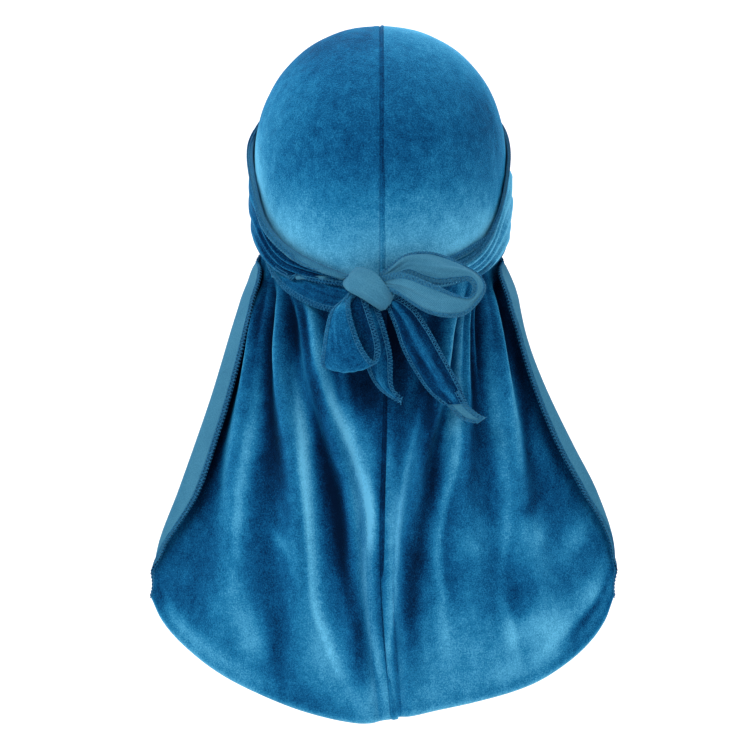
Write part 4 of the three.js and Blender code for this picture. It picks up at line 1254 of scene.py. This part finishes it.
# Stitches along the free edge of a panel, from the nape down
def stitch_panel(grid, side):
    name = "panel_" + SIDE_NAMES[side]
    cape = grid[CROWN_STEPS:]
    paths = overlock(cape, -1, side, lapel_stitch_width(cape))
    dress(thread_object(name + "_overlock", paths), (thread,), name)


stitch_panel(left_grid, -1)
stitch_panel(right_grid, 1)


# Studio in metres: pale floor that sweeps up behind
FLOOR_HEIGHT = -0.53
FLOOR_FRONT = -2.5
FLOOR_BACK = 1.2
FLOOR_HALF = 3.5
SWEEP_RADIUS = 0.8
SWEEP_STEPS = 16
SWEEP_TOP = 3.5


def make_sweep():
    profile = [(FLOOR_FRONT, 0.0), (FLOOR_BACK, 0.0)]
    for i in range(1, SWEEP_STEPS + 1):
        angle = math.pi / 2 * i / SWEEP_STEPS
        back = FLOOR_BACK + SWEEP_RADIUS * math.sin(angle)
        profile.append((back, SWEEP_RADIUS - SWEEP_RADIUS * math.cos(angle)))
    profile.append((FLOOR_BACK + SWEEP_RADIUS, SWEEP_TOP))
    vertices = [(x, y, FLOOR_HEIGHT + z) for y, z in profile for x in (-FLOOR_HALF, FLOOR_HALF)]
    faces = [(2 * i, 2 * i + 1, 2 * i + 3, 2 * i + 2) for i in range(len(profile) - 1)]
    mesh = smooth_mesh("studio_floor", vertices, faces)
    material, _, shader = new_material("paper")
    shader.inputs["Base Color"].default_value = (0.9, 0.9, 0.9, 1)
    shader.inputs["Roughness"].default_value = 0.9
    mesh.materials.append(material)
    obj = add_object("studio_floor", mesh)


def make_light(name, place, aim, size, power):
    light = bpy.data.lights.new(name, "AREA")
    light.shape = "RECTANGLE"
    light.size, light.size_y = size
    light.energy = power
    obj = add_object(name, light)
    obj.location = place
    direction = np.array(aim, float) - np.array(place, float)
    obj.rotation_euler = Vector(direction).to_track_quat("-Z", "Y").to_euler()


# Camera at the angle of the photo
CAMERA_DISTANCE = 1.6
CAMERA_RISE = math.radians(4.5)
CAMERA_SIDE = -0.0031
CAMERA_CENTRE = -0.2135
PIXELS_PER_METRE = 1000 / 0.62
PHOTO_PIXELS = 750
SENSOR_WIDTH = 36


def make_camera():
    camera = bpy.data.cameras.new("camera")
    camera.sensor_width = SENSOR_WIDTH
    camera.lens = SENSOR_WIDTH * PIXELS_PER_METRE * CAMERA_DISTANCE / PHOTO_PIXELS
    obj = add_object("camera", camera)
    obj.location = (
        CAMERA_SIDE,
        -CAMERA_DISTANCE * math.cos(CAMERA_RISE),
        CAMERA_CENTRE + CAMERA_DISTANCE * math.sin(CAMERA_RISE),
    )
    obj.rotation_euler = (math.pi / 2 - CAMERA_RISE, 0, 0)
    bpy.context.scene.camera = obj


# Lights: name, place, point aimed at, size in metres and power in watts
LIGHTS = [
    ("key", (-1.0, -1.6, 1.0), (0, 0, -0.2), (1.1, 1.1), 24),
    ("fill", (1.4, -1.4, 0.2), (0, 0, -0.25), (1.2, 1.4), 8),
    ("top", (0, -0.1, 1.5), (0, 0, -0.1), (1.4, 1.4), 8),
    ("left_edge", (-1.5, 0.1, 0.0), (0, 0, -0.2), (0.6, 1.4), 7),
    ("right_edge", (1.5, 0.1, 0.0), (0, 0, -0.2), (0.6, 1.4), 4),
    ("backdrop", (0, 0.9, 2.2), (0, 2.2, 0.2), (2.5, 1.0), 60),
]
WORLD_STRENGTH = 0.36

make_sweep()
for light in LIGHTS:
    make_light(*light)
make_camera()

world = bpy.data.worlds.new("studio")
world.use_nodes = True
world.node_tree.nodes["Background"].inputs["Color"].default_value = (1, 1, 1, 1)
world.node_tree.nodes["Background"].inputs["Strength"].default_value = WORLD_STRENGTH
bpy.context.scene.world = world
bpy.context.scene.view_settings.view_transform = "Standard"
